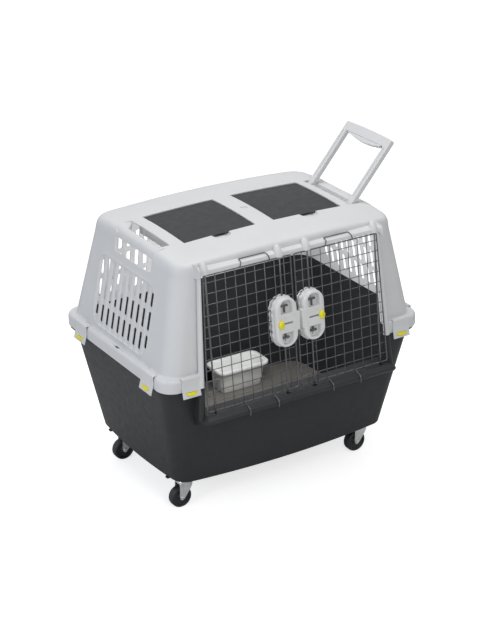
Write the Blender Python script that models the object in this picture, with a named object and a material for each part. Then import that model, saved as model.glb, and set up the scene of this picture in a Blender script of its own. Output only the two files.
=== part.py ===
"""Two-door dog travel crate with casters, roof compartments and a tow handle.

Crate axes while modelling: X along the length (tow handle at +X), Y towards the
back (doors at -Y), Z up, ground at z = 0. All lengths are in metres. At the end the
whole crate is shifted so that the centre of its bounding box stands over the origin.
"""
import math

import bmesh
import bpy
from mathutils import Matrix, Vector

# general
GAP = 0.0003            # clearance between pieces that rest on each other
WALL = 0.0035           # moulded wall of both shells

# lower shell
SHELL_X = 0.0075        # middle of both shells, a little to the right of the doors'
BOTTOM_Z = 0.108        # underside
BOTTOM_HALF_X = 0.335
BOTTOM_HALF_Y = 0.220
BOTTOM_BOW = 0.018      # long sides bulge by this much at the bottom
CORNER_R = 0.045
RIM_HALF_X = 0.4055     # outside of the light rim skirt
RIM_HALF_Y = 0.2765
RIM_STEP_X = 0.0145     # rim stands out from the lower walls by this much
RIM_STEP_Y = 0.0130
HOOD_STEP_X = 0.0190    # and from the upper walls
HOOD_STEP_Y = 0.0130
RIM_BOTTOM_Z = 0.404
RIM_TOP_Z = 0.4425
EDGE_R = 0.006          # rounding where walls meet the bottom

# upper shell
SKIRT_T = 0.0030
SKIRT_BOTTOM_Z = 0.412
FLANGE_T = 0.0040
SHOULDER_Z = 0.690
SHOULDER_HALF_X = 0.339
SHOULDER_FRONT = 0.231
SHOULDER_BACK = 0.227
CROWN_Z = 0.752         # highest point of the roof
CROWN_X = 0.10          # roof falls by CROWN_X * x^2 + CROWN_Y * y^2
CROWN_Y = 0.25
ROOF_BOW = 0.006
ROOF_MID_Y = -0.0145    # centre line of everything set into the roof and the ends

# doorway and the plane of the doors
DOOR_Y = -0.2515        # where the door plane meets z = SHOULDER_Z
DOOR_LEAN = math.radians(7.2)
OPEN_TOP_V = 0.0165     # header underside, measured up the plane from z = SHOULDER_Z
SILL_V = -0.3540
OPEN_TOP_HALF = 0.2715
OPEN_BOTTOM_HALF = 0.2890
JAMB_W = 0.012
NOSE_N = 0.0265         # sill reaches this far in front of the door plane

# doors
FRAME_WIRE_R = 0.0020
MESH_WIRE_R = 0.0014
LAYER = 0.0011          # upright wires lie this far in front of the plane, level ones behind
MESH_PITCH_U = 0.0294
MESH_PITCH_V = 0.0288
MESH_FIRST_U = 0.0275
MESH_ROWS = 12
MESH_COLUMNS = 8
MESH_FIRST_V = -0.0065
DOOR_TOP_V = 0.0125
DOOR_BOTTOM_V = -0.3470
DOOR_MEET_U = 0.0055
DOOR_CLEAR = 0.0045     # frame wire to doorway edge
HINGE_U = 0.2610
HINGE_R = 0.0030
ROD_PLAY = 0.0003
SOCKET_DEPTH = 0.012
DOME_R = 0.0090
DOME_H = 0.027

# latches
LATCH_U = 0.0425
LATCH_V = -0.156
LATCH_HALF_W = 0.036
LATCH_HALF_H = 0.070
LATCH_FRONT = 0.0250
LATCH_BACK_T = 0.004
BOLT_R = 0.0025
BOLT_GAP_TOP = 0.0022
BOLT_GAP_SILL = 0.0050
BOLT_REACH = 0.0100     # how far a bolt slides out
BOLT_SOCKET_U = 0.0045  # half width and half depth of its socket
BOLT_SOCKET_N = 0.0052
BOLT_DOME_R = 0.0115
BOLT_DOME_N = 0.0025
BOLT_N = 0.0056
KNOB_R = 0.0080

# rim clips
CLIP_T = 0.0030
CLIP_W_FRONT = 0.048
CLIP_W_END = 0.060
CLIP_FRONT_X = 0.331    # from the middle of the shells
CLIP_REAR_X = 0.200
CLIP_END_Y = 0.178
CLIP_BOTTOM_Z = 0.397
CLIP_FLARE = 0.0080
BUTTON_HALF_W = 0.017
BUTTON_TOP_S = 0.53                       # share of the leg above the button

# roof lids and their trays
LID_INNER_X = 0.0285
LID_OUTER_X = 0.2430
LID_HALF_Y = 0.1065
LID_T = 0.0030
LID_SINK = 0.0025       # lid top below the roof
LEDGE = 0.0060
TRAY_FLOOR_Z = 0.7020
TRAY_WALL = 0.0030
SCOOP_R = 0.0265

# hand-holds and vents
SLOT_IN_X = 0.268
SLOT_OUT_X = 0.308
SLOT_HALF_Y = 0.107
WINDOW_HALF_Y = 0.094
WINDOW_BOTTOM_Z = 0.674
WINDOW_TOP_Z = 0.7085
BAR_R = 0.0100
BAR_LEFT_X = -0.3145
BAR_RIGHT_X = 0.3225
BAR_Z = 0.7195
VENT_W = 0.0080
VENT_PITCH = 0.0203
VENT_COLUMNS = 13
VENT_BOTTOM_Z = 0.468
VENT_TOP_Z = 0.650
REAR_VENT_X = 0.165
REAR_VENT_COLUMNS = 6

# tow handle
PIVOT_X = 0.2835
PIVOT_Z = 0.7310
PIN_R = 0.0040
HANDLE_HALF_W = 0.1020
HANDLE_LENGTH = 0.208
HANDLE_LEAN = math.radians(40.0)   # from upright, outwards, as photographed
ARM_W = 0.019
ARM_T = 0.014
BAR_W = 0.026
EYE_R = 0.0080

# floor and bowl
FLOOR_T = 0.0040
FLOOR_TOP_Z = 0.1275
FLOOR_INSET = 0.0030
DRAIN_R = 0.0040
BOWL_X = 0.098
BOWL_Y = 0.165
BOWL_HALF_X = 0.085
BOWL_HALF_Y = 0.046
BOWL_H = 0.074
BOWL_WALL = 0.0025

# casters
GROUND_Z = 0.0070       # where the wheels stand
CASTER_X = 0.2870       # from the middle of the shells
CASTER_Y = 0.156
WHEEL_R = 0.0305
WHEEL_W = 0.022
WHEEL_TRAIL = 0.010
AXLE_R = 0.0035
PLATE_HALF = 0.029
PLATE_T = 0.0040
FORK_T = 0.0022
KING_R = 0.010

SIN_L, COS_L = math.sin(DOOR_LEAN), math.cos(DOOR_LEAN)
SEAT_Z = RIM_TOP_Z + GAP                 # underside of the upper flange
FLANGE_TOP_Z = SEAT_Z + FLANGE_T
WALL_TOP_HALF_X = RIM_HALF_X - RIM_STEP_X
WALL_TOP_HALF_Y = RIM_HALF_Y - RIM_STEP_Y
HOOD_HALF_X = RIM_HALF_X - HOOD_STEP_X
HOOD_HALF_Y = RIM_HALF_Y - HOOD_STEP_Y
INNER_FLOOR_Z = BOTTOM_Z + WALL + 0.001


def clear_scene():
    """Remove whatever the opened file holds."""
    for ob in list(bpy.data.objects):
        bpy.data.objects.remove(ob, do_unlink=True)


def material(name, colour, roughness, metallic=0.0):
    mat = bpy.data.materials.new(name)
    mat.use_nodes = True
    shader = mat.node_tree.nodes["Principled BSDF"]
    shader.inputs["Base Color"].default_value = (*colour, 1.0)
    shader.inputs["Roughness"].default_value = roughness
    shader.inputs["Metallic"].default_value = metallic
    mat.diffuse_color = (*colour, 1.0)
    return mat


LIGHT_GREY = ((0.56, 0.58, 0.61), 0.45)
LATCH_GREY = ((0.66, 0.67, 0.68), 0.45)
DARK_GREY = ((0.028, 0.031, 0.035), 0.55)
LID_GREY = ((0.075, 0.082, 0.088), 0.60)
FLOOR_GREY = ((0.21, 0.20, 0.19), 0.60)
YELLOW = ((0.82, 0.75, 0.05), 0.40)
BLACK = ((0.015, 0.015, 0.016), 0.45)
WHITE = ((0.80, 0.80, 0.79), 0.35)
WIRE = ((0.14, 0.14, 0.135), 0.35, 0.9)
ZINC = ((0.62, 0.64, 0.64), 0.35, 0.9)


def new_object(name, bm, look, parent=None):
    """Turn a bmesh into a named object with a material of its own."""
    bmesh.ops.recalc_face_normals(bm, faces=bm.faces)
    mesh = bpy.data.meshes.new(name)
    bm.to_mesh(mesh)
    bm.free()
    ob = bpy.data.objects.new(name, mesh)
    bpy.context.scene.collection.objects.link(ob)
    mesh.materials.append(material(name, *look))
    if parent is not None:
        ob.parent = parent
    return ob


def empty(name, location, parent=None, matrix=None):
    ob = bpy.data.objects.new(name, None)
    bpy.context.scene.collection.objects.link(ob)
    ob.empty_display_size = 0.03
    if matrix is not None:
        ob.matrix_world = matrix
    else:
        ob.location = location
    ob.parent = parent
    return ob


def shade(ob, angle=35.0):
    ob.data.shade_smooth()
    ob.data.set_sharp_from_angle(angle=math.radians(angle))


def ready(bm):
    """Face outwards and split bent faces into triangles, as they upset a Boolean."""
    bmesh.ops.recalc_face_normals(bm, faces=bm.faces)
    bent = []
    for face in bm.faces:
        if len(face.verts) > 3:
            mid = face.calc_center_median()
            if max(abs((v.co - mid).dot(face.normal)) for v in face.verts) > 0.000002:
                bent.append(face)
    bmesh.ops.triangulate(bm, faces=bent)


def combine(target, others, operation, solver="EXACT"):
    """Boolean `others` (one bmesh each) into the bmesh `target` and return the result."""
    scene = bpy.context.scene
    base = bpy.data.objects.new("work_base", bpy.data.meshes.new("work_base"))
    scene.collection.objects.link(base)
    ready(target)
    target.to_mesh(base.data)
    target.free()
    helpers = []
    for bm in others:
        ready(bm)
        tool = bpy.data.objects.new("work_tool", bpy.data.meshes.new("work_tool"))
        scene.collection.objects.link(tool)
        bm.to_mesh(tool.data)
        bm.free()
        tool.hide_render = True
        tool.display_type = "WIRE"
        mod = base.modifiers.new("bool", "BOOLEAN")
        mod.operation = operation
        mod.solver = solver
        mod.object = tool
        helpers.append(tool)
    graph = bpy.context.evaluated_depsgraph_get()
    mesh = bpy.data.meshes.new_from_object(base.evaluated_get(graph))
    result = bmesh.new()
    result.from_mesh(mesh)
    bpy.data.meshes.remove(mesh)
    for ob in helpers + [base]:
        data = ob.data
        bpy.data.objects.remove(ob, do_unlink=True)
        bpy.data.meshes.remove(data)
    return result


def move(bm, matrix):
    bmesh.ops.transform(bm, matrix=matrix, verts=bm.verts)
    return bm


def box(x0, x1, y0, y1, z0, z1):
    bm = bmesh.new()
    bmesh.ops.create_cube(bm, size=1.0)
    size = Vector((x1 - x0, y1 - y0, z1 - z0))
    mid = Vector(((x0 + x1) / 2, (y0 + y1) / 2, (z0 + z1) / 2))
    return move(bm, Matrix.Translation(mid) @ Matrix.Diagonal((*size, 1.0)))


def cylinder(radius, z0, z1, sides=16):
    """Cylinder on the Z axis with a corner towards -Y."""
    bm = bmesh.new()
    bmesh.ops.create_cone(bm, cap_ends=True, segments=sides, radius1=radius,
                          radius2=radius, depth=z1 - z0)
    return move(bm, Matrix.Translation((0, 0, (z0 + z1) / 2)))


def loft(loops, closed_ends=True):
    """Skin a list of equal-length point loops; the first and last are capped."""
    bm = bmesh.new()
    rings = [[bm.verts.new(p) for p in loop] for loop in loops]
    count = len(rings[0])
    for a, b in zip(rings, rings[1:]):
        for i in range(count):
            j = (i + 1) % count
            bm.faces.new((a[i], a[j], b[j], b[i]))
    if closed_ends:
        bm.faces.new(list(reversed(rings[0])))
        bm.faces.new(rings[-1])
    return bm


def prism(outline, depth_from, depth_to, place):
    """Extrude a flat outline; place(a, b, depth) gives a point's position."""
    front = [place(a, b, depth_to) for a, b in outline]
    back = [place(a, b, depth_from) for a, b in outline]
    return loft([back, front])


def revolve(profile, sides, place, phase=0.0):
    """Turn (radius, height) points; place(x, y, height) gives a point's position.

    A radius of 0 at either end closes the shape in a point.
    """
    bm = bmesh.new()
    rings = []
    for radius, height in profile:
        if radius == 0.0:
            rings.append([bm.verts.new(place(0.0, 0.0, height))])
            continue
        ring = []
        for i in range(sides):
            a = phase + 2 * math.pi * i / sides
            ring.append(bm.verts.new(place(radius * math.cos(a), radius * math.sin(a), height)))
        rings.append(ring)
    for a, b in zip(rings, rings[1:]):
        for i in range(sides):
            j = (i + 1) % sides
            if len(a) == 1:
                bm.faces.new((a[0], b[j], b[i]))
            elif len(b) == 1:
                bm.faces.new((a[i], a[j], b[0]))
            else:
                bm.faces.new((a[i], a[j], b[j], b[i]))
    if len(rings[0]) > 1:
        bm.faces.new(list(reversed(rings[0])))
    if len(rings[-1]) > 1:
        bm.faces.new(rings[-1])
    return bm


def join(parts):
    """Put several separate bmeshes into one, as disjoint bodies of a cutter."""
    target = bmesh.new()
    for bm in parts:
        mesh = bpy.data.meshes.new("work_join")
        bm.to_mesh(mesh)
        bm.free()
        target.from_mesh(mesh)
        bpy.data.meshes.remove(mesh)
    return target


def tube(points, radius, sides, flat_side=None):
    """Wire through `points` with mitred bends and capped ends.

    `flat_side` is a direction that one flat of the section faces.
    """
    points = [Vector(p) for p in points]
    rings = []
    ref = Vector(flat_side) if flat_side is not None else Vector((0.0, 0.3, 1.0))
    for i, p in enumerate(points):
        before = (p - points[i - 1]).normalized() if i else None
        after = (points[i + 1] - p).normalized() if i + 1 < len(points) else None
        along = ((before or after) + (after or before)).normalized()
        first = before if before is not None else after
        side = (ref - first * ref.dot(first)).normalized()
        other = first.cross(side)
        ring = []
        for k in range(sides):
            a = 2 * math.pi * (k + 0.5) / sides
            off = (side * math.cos(a) + other * math.sin(a)) * radius
            off -= first * (off.dot(along) / first.dot(along))
            ring.append(p + off)
        rings.append(ring)
    return loft(rings)


# plan outlines

def plan_loop(half_x, front, back, radius, bow_x, bow_y, z_of, corner=4, long_side=6, short_side=4):
    """Rounded rectangle whose sides bulge, counter-clockwise from the front-left corner."""
    pts = []
    left, right = SHELL_X - half_x, SHELL_X + half_x
    arc = [math.pi / 2 * i / corner for i in range(corner + 1)]

    def bulge(t, bow):
        return bow * (1.0 - t * t)

    for i in range(corner + 1):
        a = math.pi + arc[i]
        pts.append((left + radius + radius * math.cos(a), front + radius + radius * math.sin(a)))
    reach = half_x - radius
    for i in range(1, long_side):
        t = -1.0 + 2.0 * i / long_side
        pts.append((SHELL_X + t * reach, front - bulge(t, bow_y)))
    for i in range(corner + 1):
        a = 1.5 * math.pi + arc[i]
        pts.append((right - radius + radius * math.cos(a), front + radius + radius * math.sin(a)))
    mid, half = (front + back) / 2, (back - front) / 2 - radius
    for i in range(1, short_side):
        t = -1.0 + 2.0 * i / short_side
        pts.append((right + bulge(t, bow_x), mid + t * half))
    for i in range(corner + 1):
        a = arc[i]
        pts.append((right - radius + radius * math.cos(a), back - radius + radius * math.sin(a)))
    for i in range(1, long_side):
        t = 1.0 - 2.0 * i / long_side
        pts.append((SHELL_X + t * reach, back + bulge(t, bow_y)))
    for i in range(corner + 1):
        a = 0.5 * math.pi + arc[i]
        pts.append((left + radius + radius * math.cos(a), back - radius + radius * math.sin(a)))
    for i in range(1, short_side):
        t = 1.0 - 2.0 * i / short_side
        pts.append((left - bulge(t, bow_x), mid + t * half))
    return [(x, y, z_of(x, y)) for x, y in pts]


def level_loop(half_x, half_y, radius, bow, z):
    return plan_loop(half_x, -half_y, half_y, radius, bow * 0.5, bow, lambda x, y: z)


def lower_half(z):
    """Half length, half depth and bulge of the lower shell's outer wall at height z."""
    t = (z - (BOTTOM_Z + EDGE_R)) / (RIM_BOTTOM_Z - (BOTTOM_Z + EDGE_R))
    half_x = BOTTOM_HALF_X + (WALL_TOP_HALF_X - BOTTOM_HALF_X) * t
    half_y = BOTTOM_HALF_Y + (WALL_TOP_HALF_Y - BOTTOM_HALF_Y) * t
    return half_x, half_y, BOTTOM_BOW * max(0.0, 1.0 - t)


def roof_z(x, y):
    return CROWN_Z - CROWN_X * x * x - CROWN_Y * y * y


# door plane coordinates: u along X, v up the plane, n out of it

def door_point(u, v, n):
    return Vector((u, DOOR_Y + v * SIN_L - n * COS_L, SHOULDER_Z + v * COS_L + n * SIN_L))


def door_matrix(u, v, n):
    """Frame with its own X along the crate, Z up the door plane and -Y out of it."""
    rot = Matrix(((1, 0, 0), (0, COS_L, SIN_L), (0, -SIN_L, COS_L)))
    return Matrix.Translation(door_point(u, v, n)) @ rot.to_4x4()


def opening_half(v):
    """Half width of the doorway at height v of the door plane."""
    t = (OPEN_TOP_V - v) / (OPEN_TOP_V - SILL_V)
    return OPEN_TOP_HALF + (OPEN_BOTTOM_HALF - OPEN_TOP_HALF) * t


def doorway_cutter(v_low, v_high):
    outline = [(-opening_half(v_low), v_low), (opening_half(v_low), v_low),
               (opening_half(v_high), v_high), (-opening_half(v_high), v_high)]
    return prism(outline, -0.075, 0.060, door_point)


def jamb(side, low, high):
    """Upright strip along one edge of the doorway, whose cutter trims its inner edge.

    `low` and `high` are (height, back, front) in the door plane's coordinates.
    """
    loops = []
    for v, back, front in (low, high):
        near, far = side * (opening_half(v) - 0.002), side * (opening_half(v) + JAMB_W)
        loops.append([door_point(near, v, back), door_point(far, v, back),
                      door_point(far, v, front), door_point(near, v, front)])
    return loft(loops)


def plane_v(z):
    """Height up the door plane at level z."""
    return (z - SHOULDER_Z) / COS_L


def jamb_foot(side):
    """Lower end of the upper shell's jamb, which reaches down in front of the skirt."""
    loops = []
    back = -RIM_HALF_Y + 0.0015
    for z in (SKIRT_BOTTOM_Z + 0.002, FLANGE_TOP_Z + 0.002):
        v = plane_v(z)
        near, far = side * (opening_half(v) - 0.002), side * (opening_half(v) + JAMB_W)
        front = door_point(0, v, -0.0025).y
        loops.append([Vector((near, back, z)), Vector((far, back, z)),
                      Vector((far, front, z)), Vector((near, front, z))])
    return loft(loops)


def rod_hole(u, n, v0, v1, radius):
    """Cutter for a blind socket of a door rod."""
    return move(cylinder(radius, v0, v1, 12), door_matrix(u, 0.0, n))


def bolt_socket(u, v0, v1):
    """Cutter for the oblong blind socket that a latch bolt slides into."""
    a, b, c = BOLT_SOCKET_U, BOLT_SOCKET_N, 0.0010
    outline = [(c - a, -b), (a - c, -b), (a, c - b), (a, b - c), (a - c, b), (c - a, b), (-a, b - c), (-a, c - b)]
    return prism(outline, v0, v1, lambda x, y, v: door_point(u + x, v, BOLT_N + y))


def rod_sockets(hinge_span, bolt_span):
    cutters = []
    for side in (-1, 1):
        cutters.append(rod_hole(side * HINGE_U, 0.0, *hinge_span, HINGE_R + ROD_PLAY))
        cutters.append(bolt_socket(side * LATCH_U, *bolt_span))
    return cutters


# shells

def lower_shell():
    """Tub with tapered, bulging walls, rim bar, door sill and jamb ribs."""
    loops = []
    edge = [(BOTTOM_Z, -EDGE_R), (BOTTOM_Z + 0.3 * EDGE_R, -0.3 * EDGE_R), (BOTTOM_Z + EDGE_R, 0.0)]
    for z, inset in edge:
        loops.append(level_loop(BOTTOM_HALF_X + inset, BOTTOM_HALF_Y + inset, CORNER_R, BOTTOM_BOW, z))
    for share in (0.35, 0.7, 1.0):
        z = BOTTOM_Z + EDGE_R + (RIM_BOTTOM_Z - BOTTOM_Z - EDGE_R) * share
        half_x, half_y, bow = lower_half(z)
        loops.append(level_loop(half_x, half_y, CORNER_R, bow, z))
    out = SKIRT_T + 0.0004
    for z in (RIM_BOTTOM_Z, RIM_TOP_Z):
        loops.append(level_loop(RIM_HALF_X - out, RIM_HALF_Y - out, CORNER_R, 0.0, z))
    for share in (1.0, 0.7, 0.35, 0.0):
        z = INNER_FLOOR_Z + (RIM_BOTTOM_Z - INNER_FLOOR_Z) * share
        half_x, half_y, bow = lower_half(z)
        z = RIM_TOP_Z if share == 1.0 else z
        loops.append(level_loop(half_x - WALL, half_y - WALL, CORNER_R - WALL, bow, z))
    body = loft(loops)
    half = opening_half(SILL_V) + JAMB_W - 0.004
    sill = [(-0.052, SILL_V + 0.002), (0.0125, SILL_V + 0.002), (NOSE_N - 0.0045, SILL_V - 0.0050),
            (NOSE_N - 0.001, SILL_V - 0.0075), (NOSE_N, SILL_V - 0.0110), (NOSE_N - 0.0015, SILL_V - 0.0155),
            (NOSE_N - 0.006, SILL_V - 0.0195), (-0.015, SILL_V - 0.032), (-0.064, SILL_V - 0.044)]
    sill_bar = prism(sill, -half, half, lambda n, v, u: door_point(u, v, n))
    ribs = [jamb(s, (SILL_V - 0.010, -0.052, -0.004), (plane_v(SKIRT_BOTTOM_Z - 0.0010), -0.030, -0.004))
            for s in (-1, 1)]
    body = combine(body, [sill_bar] + ribs, "UNION")
    body = combine(body, [doorway_cutter(SILL_V, 0.0)], "DIFFERENCE")
    bolt_end = SILL_V + BOLT_GAP_SILL - BOLT_REACH
    sockets = rod_sockets((SILL_V - SOCKET_DEPTH, SILL_V + 0.02), (bolt_end - 0.002, SILL_V + 0.02))
    body = combine(body, sockets, "DIFFERENCE")
    ob = new_object("lower_shell", body, DARK_GREY)
    shade(ob)
    return ob


def upper_loops(inset):
    """Wall, shoulder and roof loops of the upper shell, `inset` inside the outer skin."""
    loops = []
    for share in (0.0, 0.5, 1.0):
        z = FLANGE_TOP_Z + (SHOULDER_Z - FLANGE_TOP_Z) * share
        half_x = HOOD_HALF_X + (SHOULDER_HALF_X - HOOD_HALF_X) * share - inset
        front = HOOD_HALF_Y + (SHOULDER_FRONT - HOOD_HALF_Y) * share - inset
        back = HOOD_HALF_Y + (SHOULDER_BACK - HOOD_HALF_Y) * share - inset
        if share == 0.0 and inset > 0.0:
            z = SEAT_Z
        loops.append(plan_loop(half_x, -front, back, CORNER_R - inset, ROOF_BOW * share * 0.5,
                               ROOF_BOW * share, lambda x, y, z=z: z))
    ref = roof_z(0.30, 0.18)
    # drop below the roof edge, how far the crown counts, and inward steps at ends, front, back
    shoulder = [(0.0230, 0.35, 0.0040, 0.0020, 0.0040), (0.0100, 0.70, 0.0110, 0.0060, 0.0110),
                (0.0027, 0.90, 0.0220, 0.0150, 0.0220), (0.0000, 1.00, 0.0390, 0.0310, 0.0390)]
    for drop, share, step_x, step_front, step_back in shoulder:
        low = ref - drop

        def height(x, y, low=low, share=share):
            return low + share * (roof_z(x, y) - ref) - inset
        loops.append(plan_loop(SHOULDER_HALF_X - step_x - inset * (1 - 0.5 * share),
                               -SHOULDER_FRONT + step_front + inset * (1 - 0.5 * share),
                               SHOULDER_BACK - step_back - inset * (1 - 0.5 * share),
                               CORNER_R - 0.3 * step_x, ROOF_BOW * 0.5, ROOF_BOW, height))
    for half_x, half_y in ((0.170, 0.105), (0.050, 0.030)):
        loops.append(plan_loop(half_x, ROOF_MID_Y - half_y, ROOF_MID_Y + half_y, half_y * 0.35, 0.0, 0.0,
                               lambda x, y: roof_z(x, y) - inset))
    return loops


def roof_prism(x0, x1, y0, y1, top, bottom, flat_bottom=None):
    """Block under or through the roof; top and bottom are offsets from the roof's skin."""
    nx, ny = 4, 3
    bm = bmesh.new()
    grid = {}
    for i in range(nx + 1):
        for j in range(ny + 1):
            x, y = x0 + (x1 - x0) * i / nx, y0 + (y1 - y0) * j / ny
            grid[i, j, 1] = bm.verts.new((x, y, roof_z(x, y) + top))
            low = flat_bottom if flat_bottom is not None else roof_z(x, y) + bottom
            grid[i, j, 0] = bm.verts.new((x, y, low))
    for i in range(nx):
        for j in range(ny):
            for k in (0, 1):
                quad = (grid[i, j, k], grid[i + 1, j, k], grid[i + 1, j + 1, k], grid[i, j + 1, k])
                bm.faces.new(quad if k else tuple(reversed(quad)))
    for i in range(nx):
        bm.faces.new((grid[i, 0, 0], grid[i + 1, 0, 0], grid[i + 1, 0, 1], grid[i, 0, 1]))
        bm.faces.new((grid[i + 1, ny, 0], grid[i, ny, 0], grid[i, ny, 1], grid[i + 1, ny, 1]))
    for j in range(ny):
        bm.faces.new((grid[0, j + 1, 0], grid[0, j, 0], grid[0, j, 1], grid[0, j + 1, 1]))
        bm.faces.new((grid[nx, j, 0], grid[nx, j + 1, 0], grid[nx, j + 1, 1], grid[nx, j, 1]))
    if flat_bottom is not None:
        bmesh.ops.dissolve_limit(bm, angle_limit=0.001, verts=bm.verts, edges=bm.edges)
    return bm


def lid_span(side):
    """Left and right edge of one lid; side is -1 or 1."""
    return (LID_INNER_X, LID_OUTER_X) if side > 0 else (-LID_OUTER_X, -LID_INNER_X)


def tray_blocks():
    blocks = []
    for side in (-1, 1):
        x0, x1 = lid_span(side)
        grow = LEDGE + 0.001
        blocks.append(roof_prism(x0 - grow, x1 + grow, ROOF_MID_Y - LID_HALF_Y - SCOOP_R - 0.016,
                                 ROOF_MID_Y + LID_HALF_Y + grow, -0.0010, 0.0,
                                 TRAY_FLOOR_Z - TRAY_WALL))
    return blocks


def tray_cutters():
    cutters = []
    play = 0.0006
    for side in (-1, 1):
        x0, x1 = lid_span(side)
        y0, y1 = ROOF_MID_Y - LID_HALF_Y, ROOF_MID_Y + LID_HALF_Y
        floor = -(LID_SINK + LID_T + GAP)
        cutters.append(roof_prism(x0 - play, x1 + play, y0 - play, y1 + play, 0.010, floor))
        cutters.append(roof_prism(x0 + LEDGE, x1 - LEDGE, y0 + LEDGE, y1 - LEDGE, 0.020, 0.0,
                                  TRAY_FLOOR_Z))
        scoop = cylinder(SCOOP_R, -0.0045, 0.012, 14)
        mid = (x0 + x1) / 2
        cutters.append(move(scoop, Matrix.Translation((mid, y0 - 0.011, roof_z(mid, y0)))))
    return cutters


def vent_shape(y, z_low, z_high, half):
    """Upright slot with chamfered ends, as (across, up) points."""
    c = half * 0.6
    return [(y - half, z_low + c), (y - half + c, z_low), (y + half - c, z_low), (y + half, z_low + c),
            (y + half, z_high - c), (y + half - c, z_high), (y - half + c, z_high), (y - half, z_high - c)]


def end_vents():
    """Staggered upright slots through both end walls."""
    cutters = []
    height = VENT_TOP_Z - VENT_BOTTOM_Z
    for i in range(VENT_COLUMNS):
        y = ROOF_MID_Y + VENT_PITCH * (i - (VENT_COLUMNS - 1) / 2)
        edges = (0.0, 0.20, 0.44, 0.60, 1.0) if i % 2 else (0.0, 0.36, 0.66, 1.0)
        if i in (0, VENT_COLUMNS - 1):
            edges = (0.06, 0.36, 0.66, 0.94)
        for low, high in zip(edges, edges[1:]):
            z0 = VENT_BOTTOM_Z + height * low + 0.004
            z1 = VENT_BOTTOM_Z + height * high - 0.004
            cutters.append(prism(vent_shape(y, z0, z1, VENT_W / 2), -0.45, 0.45,
                                 lambda a, b, d: Vector((d, a, b))))
    return cutters


def rear_vents():
    cutters = []
    height = VENT_TOP_Z - 0.535
    for side in (-1, 1):
        for i in range(REAR_VENT_COLUMNS):
            x = side * REAR_VENT_X + VENT_PITCH * (i - (REAR_VENT_COLUMNS - 1) / 2)
            split = 0.40 if i % 2 else 0.60
            for low, high in ((0.0, split), (split, 1.0)):
                z0, z1 = 0.535 + height * low + 0.004, 0.535 + height * high - 0.004
                cutters.append(prism(vent_shape(x, z0, z1, VENT_W / 2), 0.15, 0.33,
                                     lambda a, b, d: Vector((a, d, b))))
    return cutters


def hand_hold_cutters():
    """Roof slot and end window on both sides of each carrying bar, and the small slots."""
    cutters = []
    y0, y1 = ROOF_MID_Y - SLOT_HALF_Y, ROOF_MID_Y + SLOT_HALF_Y
    w0, w1 = ROOF_MID_Y - WINDOW_HALF_Y, ROOF_MID_Y + WINDOW_HALF_Y
    for side in (-1, 1):
        xs = sorted((side * SLOT_IN_X, side * SLOT_OUT_X))
        cutters.append(box(xs[0], xs[1], y0, y1, 0.716, 0.80))
        xs = sorted((SHELL_X + side * 0.316, SHELL_X + side * 0.40))
        cutters.append(box(xs[0], xs[1], w0, w1, WINDOW_BOTTOM_Z, WINDOW_TOP_Z))
        xs = sorted((SHELL_X + side * (RIM_HALF_X - 0.0130), SHELL_X + side * (RIM_HALF_X - 0.0055)))
        cutters.append(box(xs[0], xs[1], ROOF_MID_Y - 0.011, ROOF_MID_Y + 0.011,
                           FLANGE_TOP_Z - 0.0025, FLANGE_TOP_Z + 0.005))
    return cutters


def header_and_jambs():
    top = OPEN_TOP_V
    low = top - 0.002
    half = OPEN_TOP_HALF + JAMB_W
    profile = [(-0.030, low), (0.003, low), (0.003, top + 0.0025), (-0.004, top + 0.0060),
               (-0.017, top + 0.0110), (-0.034, top + 0.0150)]
    parts = [prism(profile, -half, half, lambda n, v, u: door_point(u, v, n))]
    for side in (-1, 1):
        parts.append(jamb(side, (plane_v(FLANGE_TOP_Z + 0.001), -0.030, -0.0025),
                          (top + 0.006, -0.030, -0.0025)))
        parts.append(jamb_foot(side))
        for u, n, r in ((HINGE_U, 0.0, DOME_R), (LATCH_U, BOLT_DOME_N, BOLT_DOME_R)):
            shape = [(r, low - 0.0004), (r, top + DOME_H * 0.45), (r * 0.80, top + DOME_H * 0.74),
                     (r * 0.40, top + DOME_H * 0.94), (0.0, top + DOME_H)]
            parts.append(revolve(shape, 12, lambda a, b, h, u=side * u, n=n:
                                 door_point(u + a, h, n + b - 0.32 * max(0.0, h - top - 0.004))))
    return parts


def bar_cores():
    """Round cores that thicken the carrying bars, and bosses for the tow handle's pin."""
    parts = []
    for x in (BAR_LEFT_X, BAR_RIGHT_X):
        core = cylinder(BAR_R, -SLOT_HALF_Y - 0.016, SLOT_HALF_Y + 0.016, 12)
        turn = Matrix.Translation((x, ROOF_MID_Y, BAR_Z)) @ Matrix.Rotation(math.pi / 2, 4, "X")
        parts.append(move(core, turn))
    for end in (-1, 1):
        y = ROOF_MID_Y + end * (SLOT_HALF_Y + 0.007)
        parts.append(box(PIVOT_X - 0.010, PIVOT_X + 0.018, y - 0.007, y + 0.007,
                         PIVOT_Z - 0.012, PIVOT_Z + 0.0055))
    return parts


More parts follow.
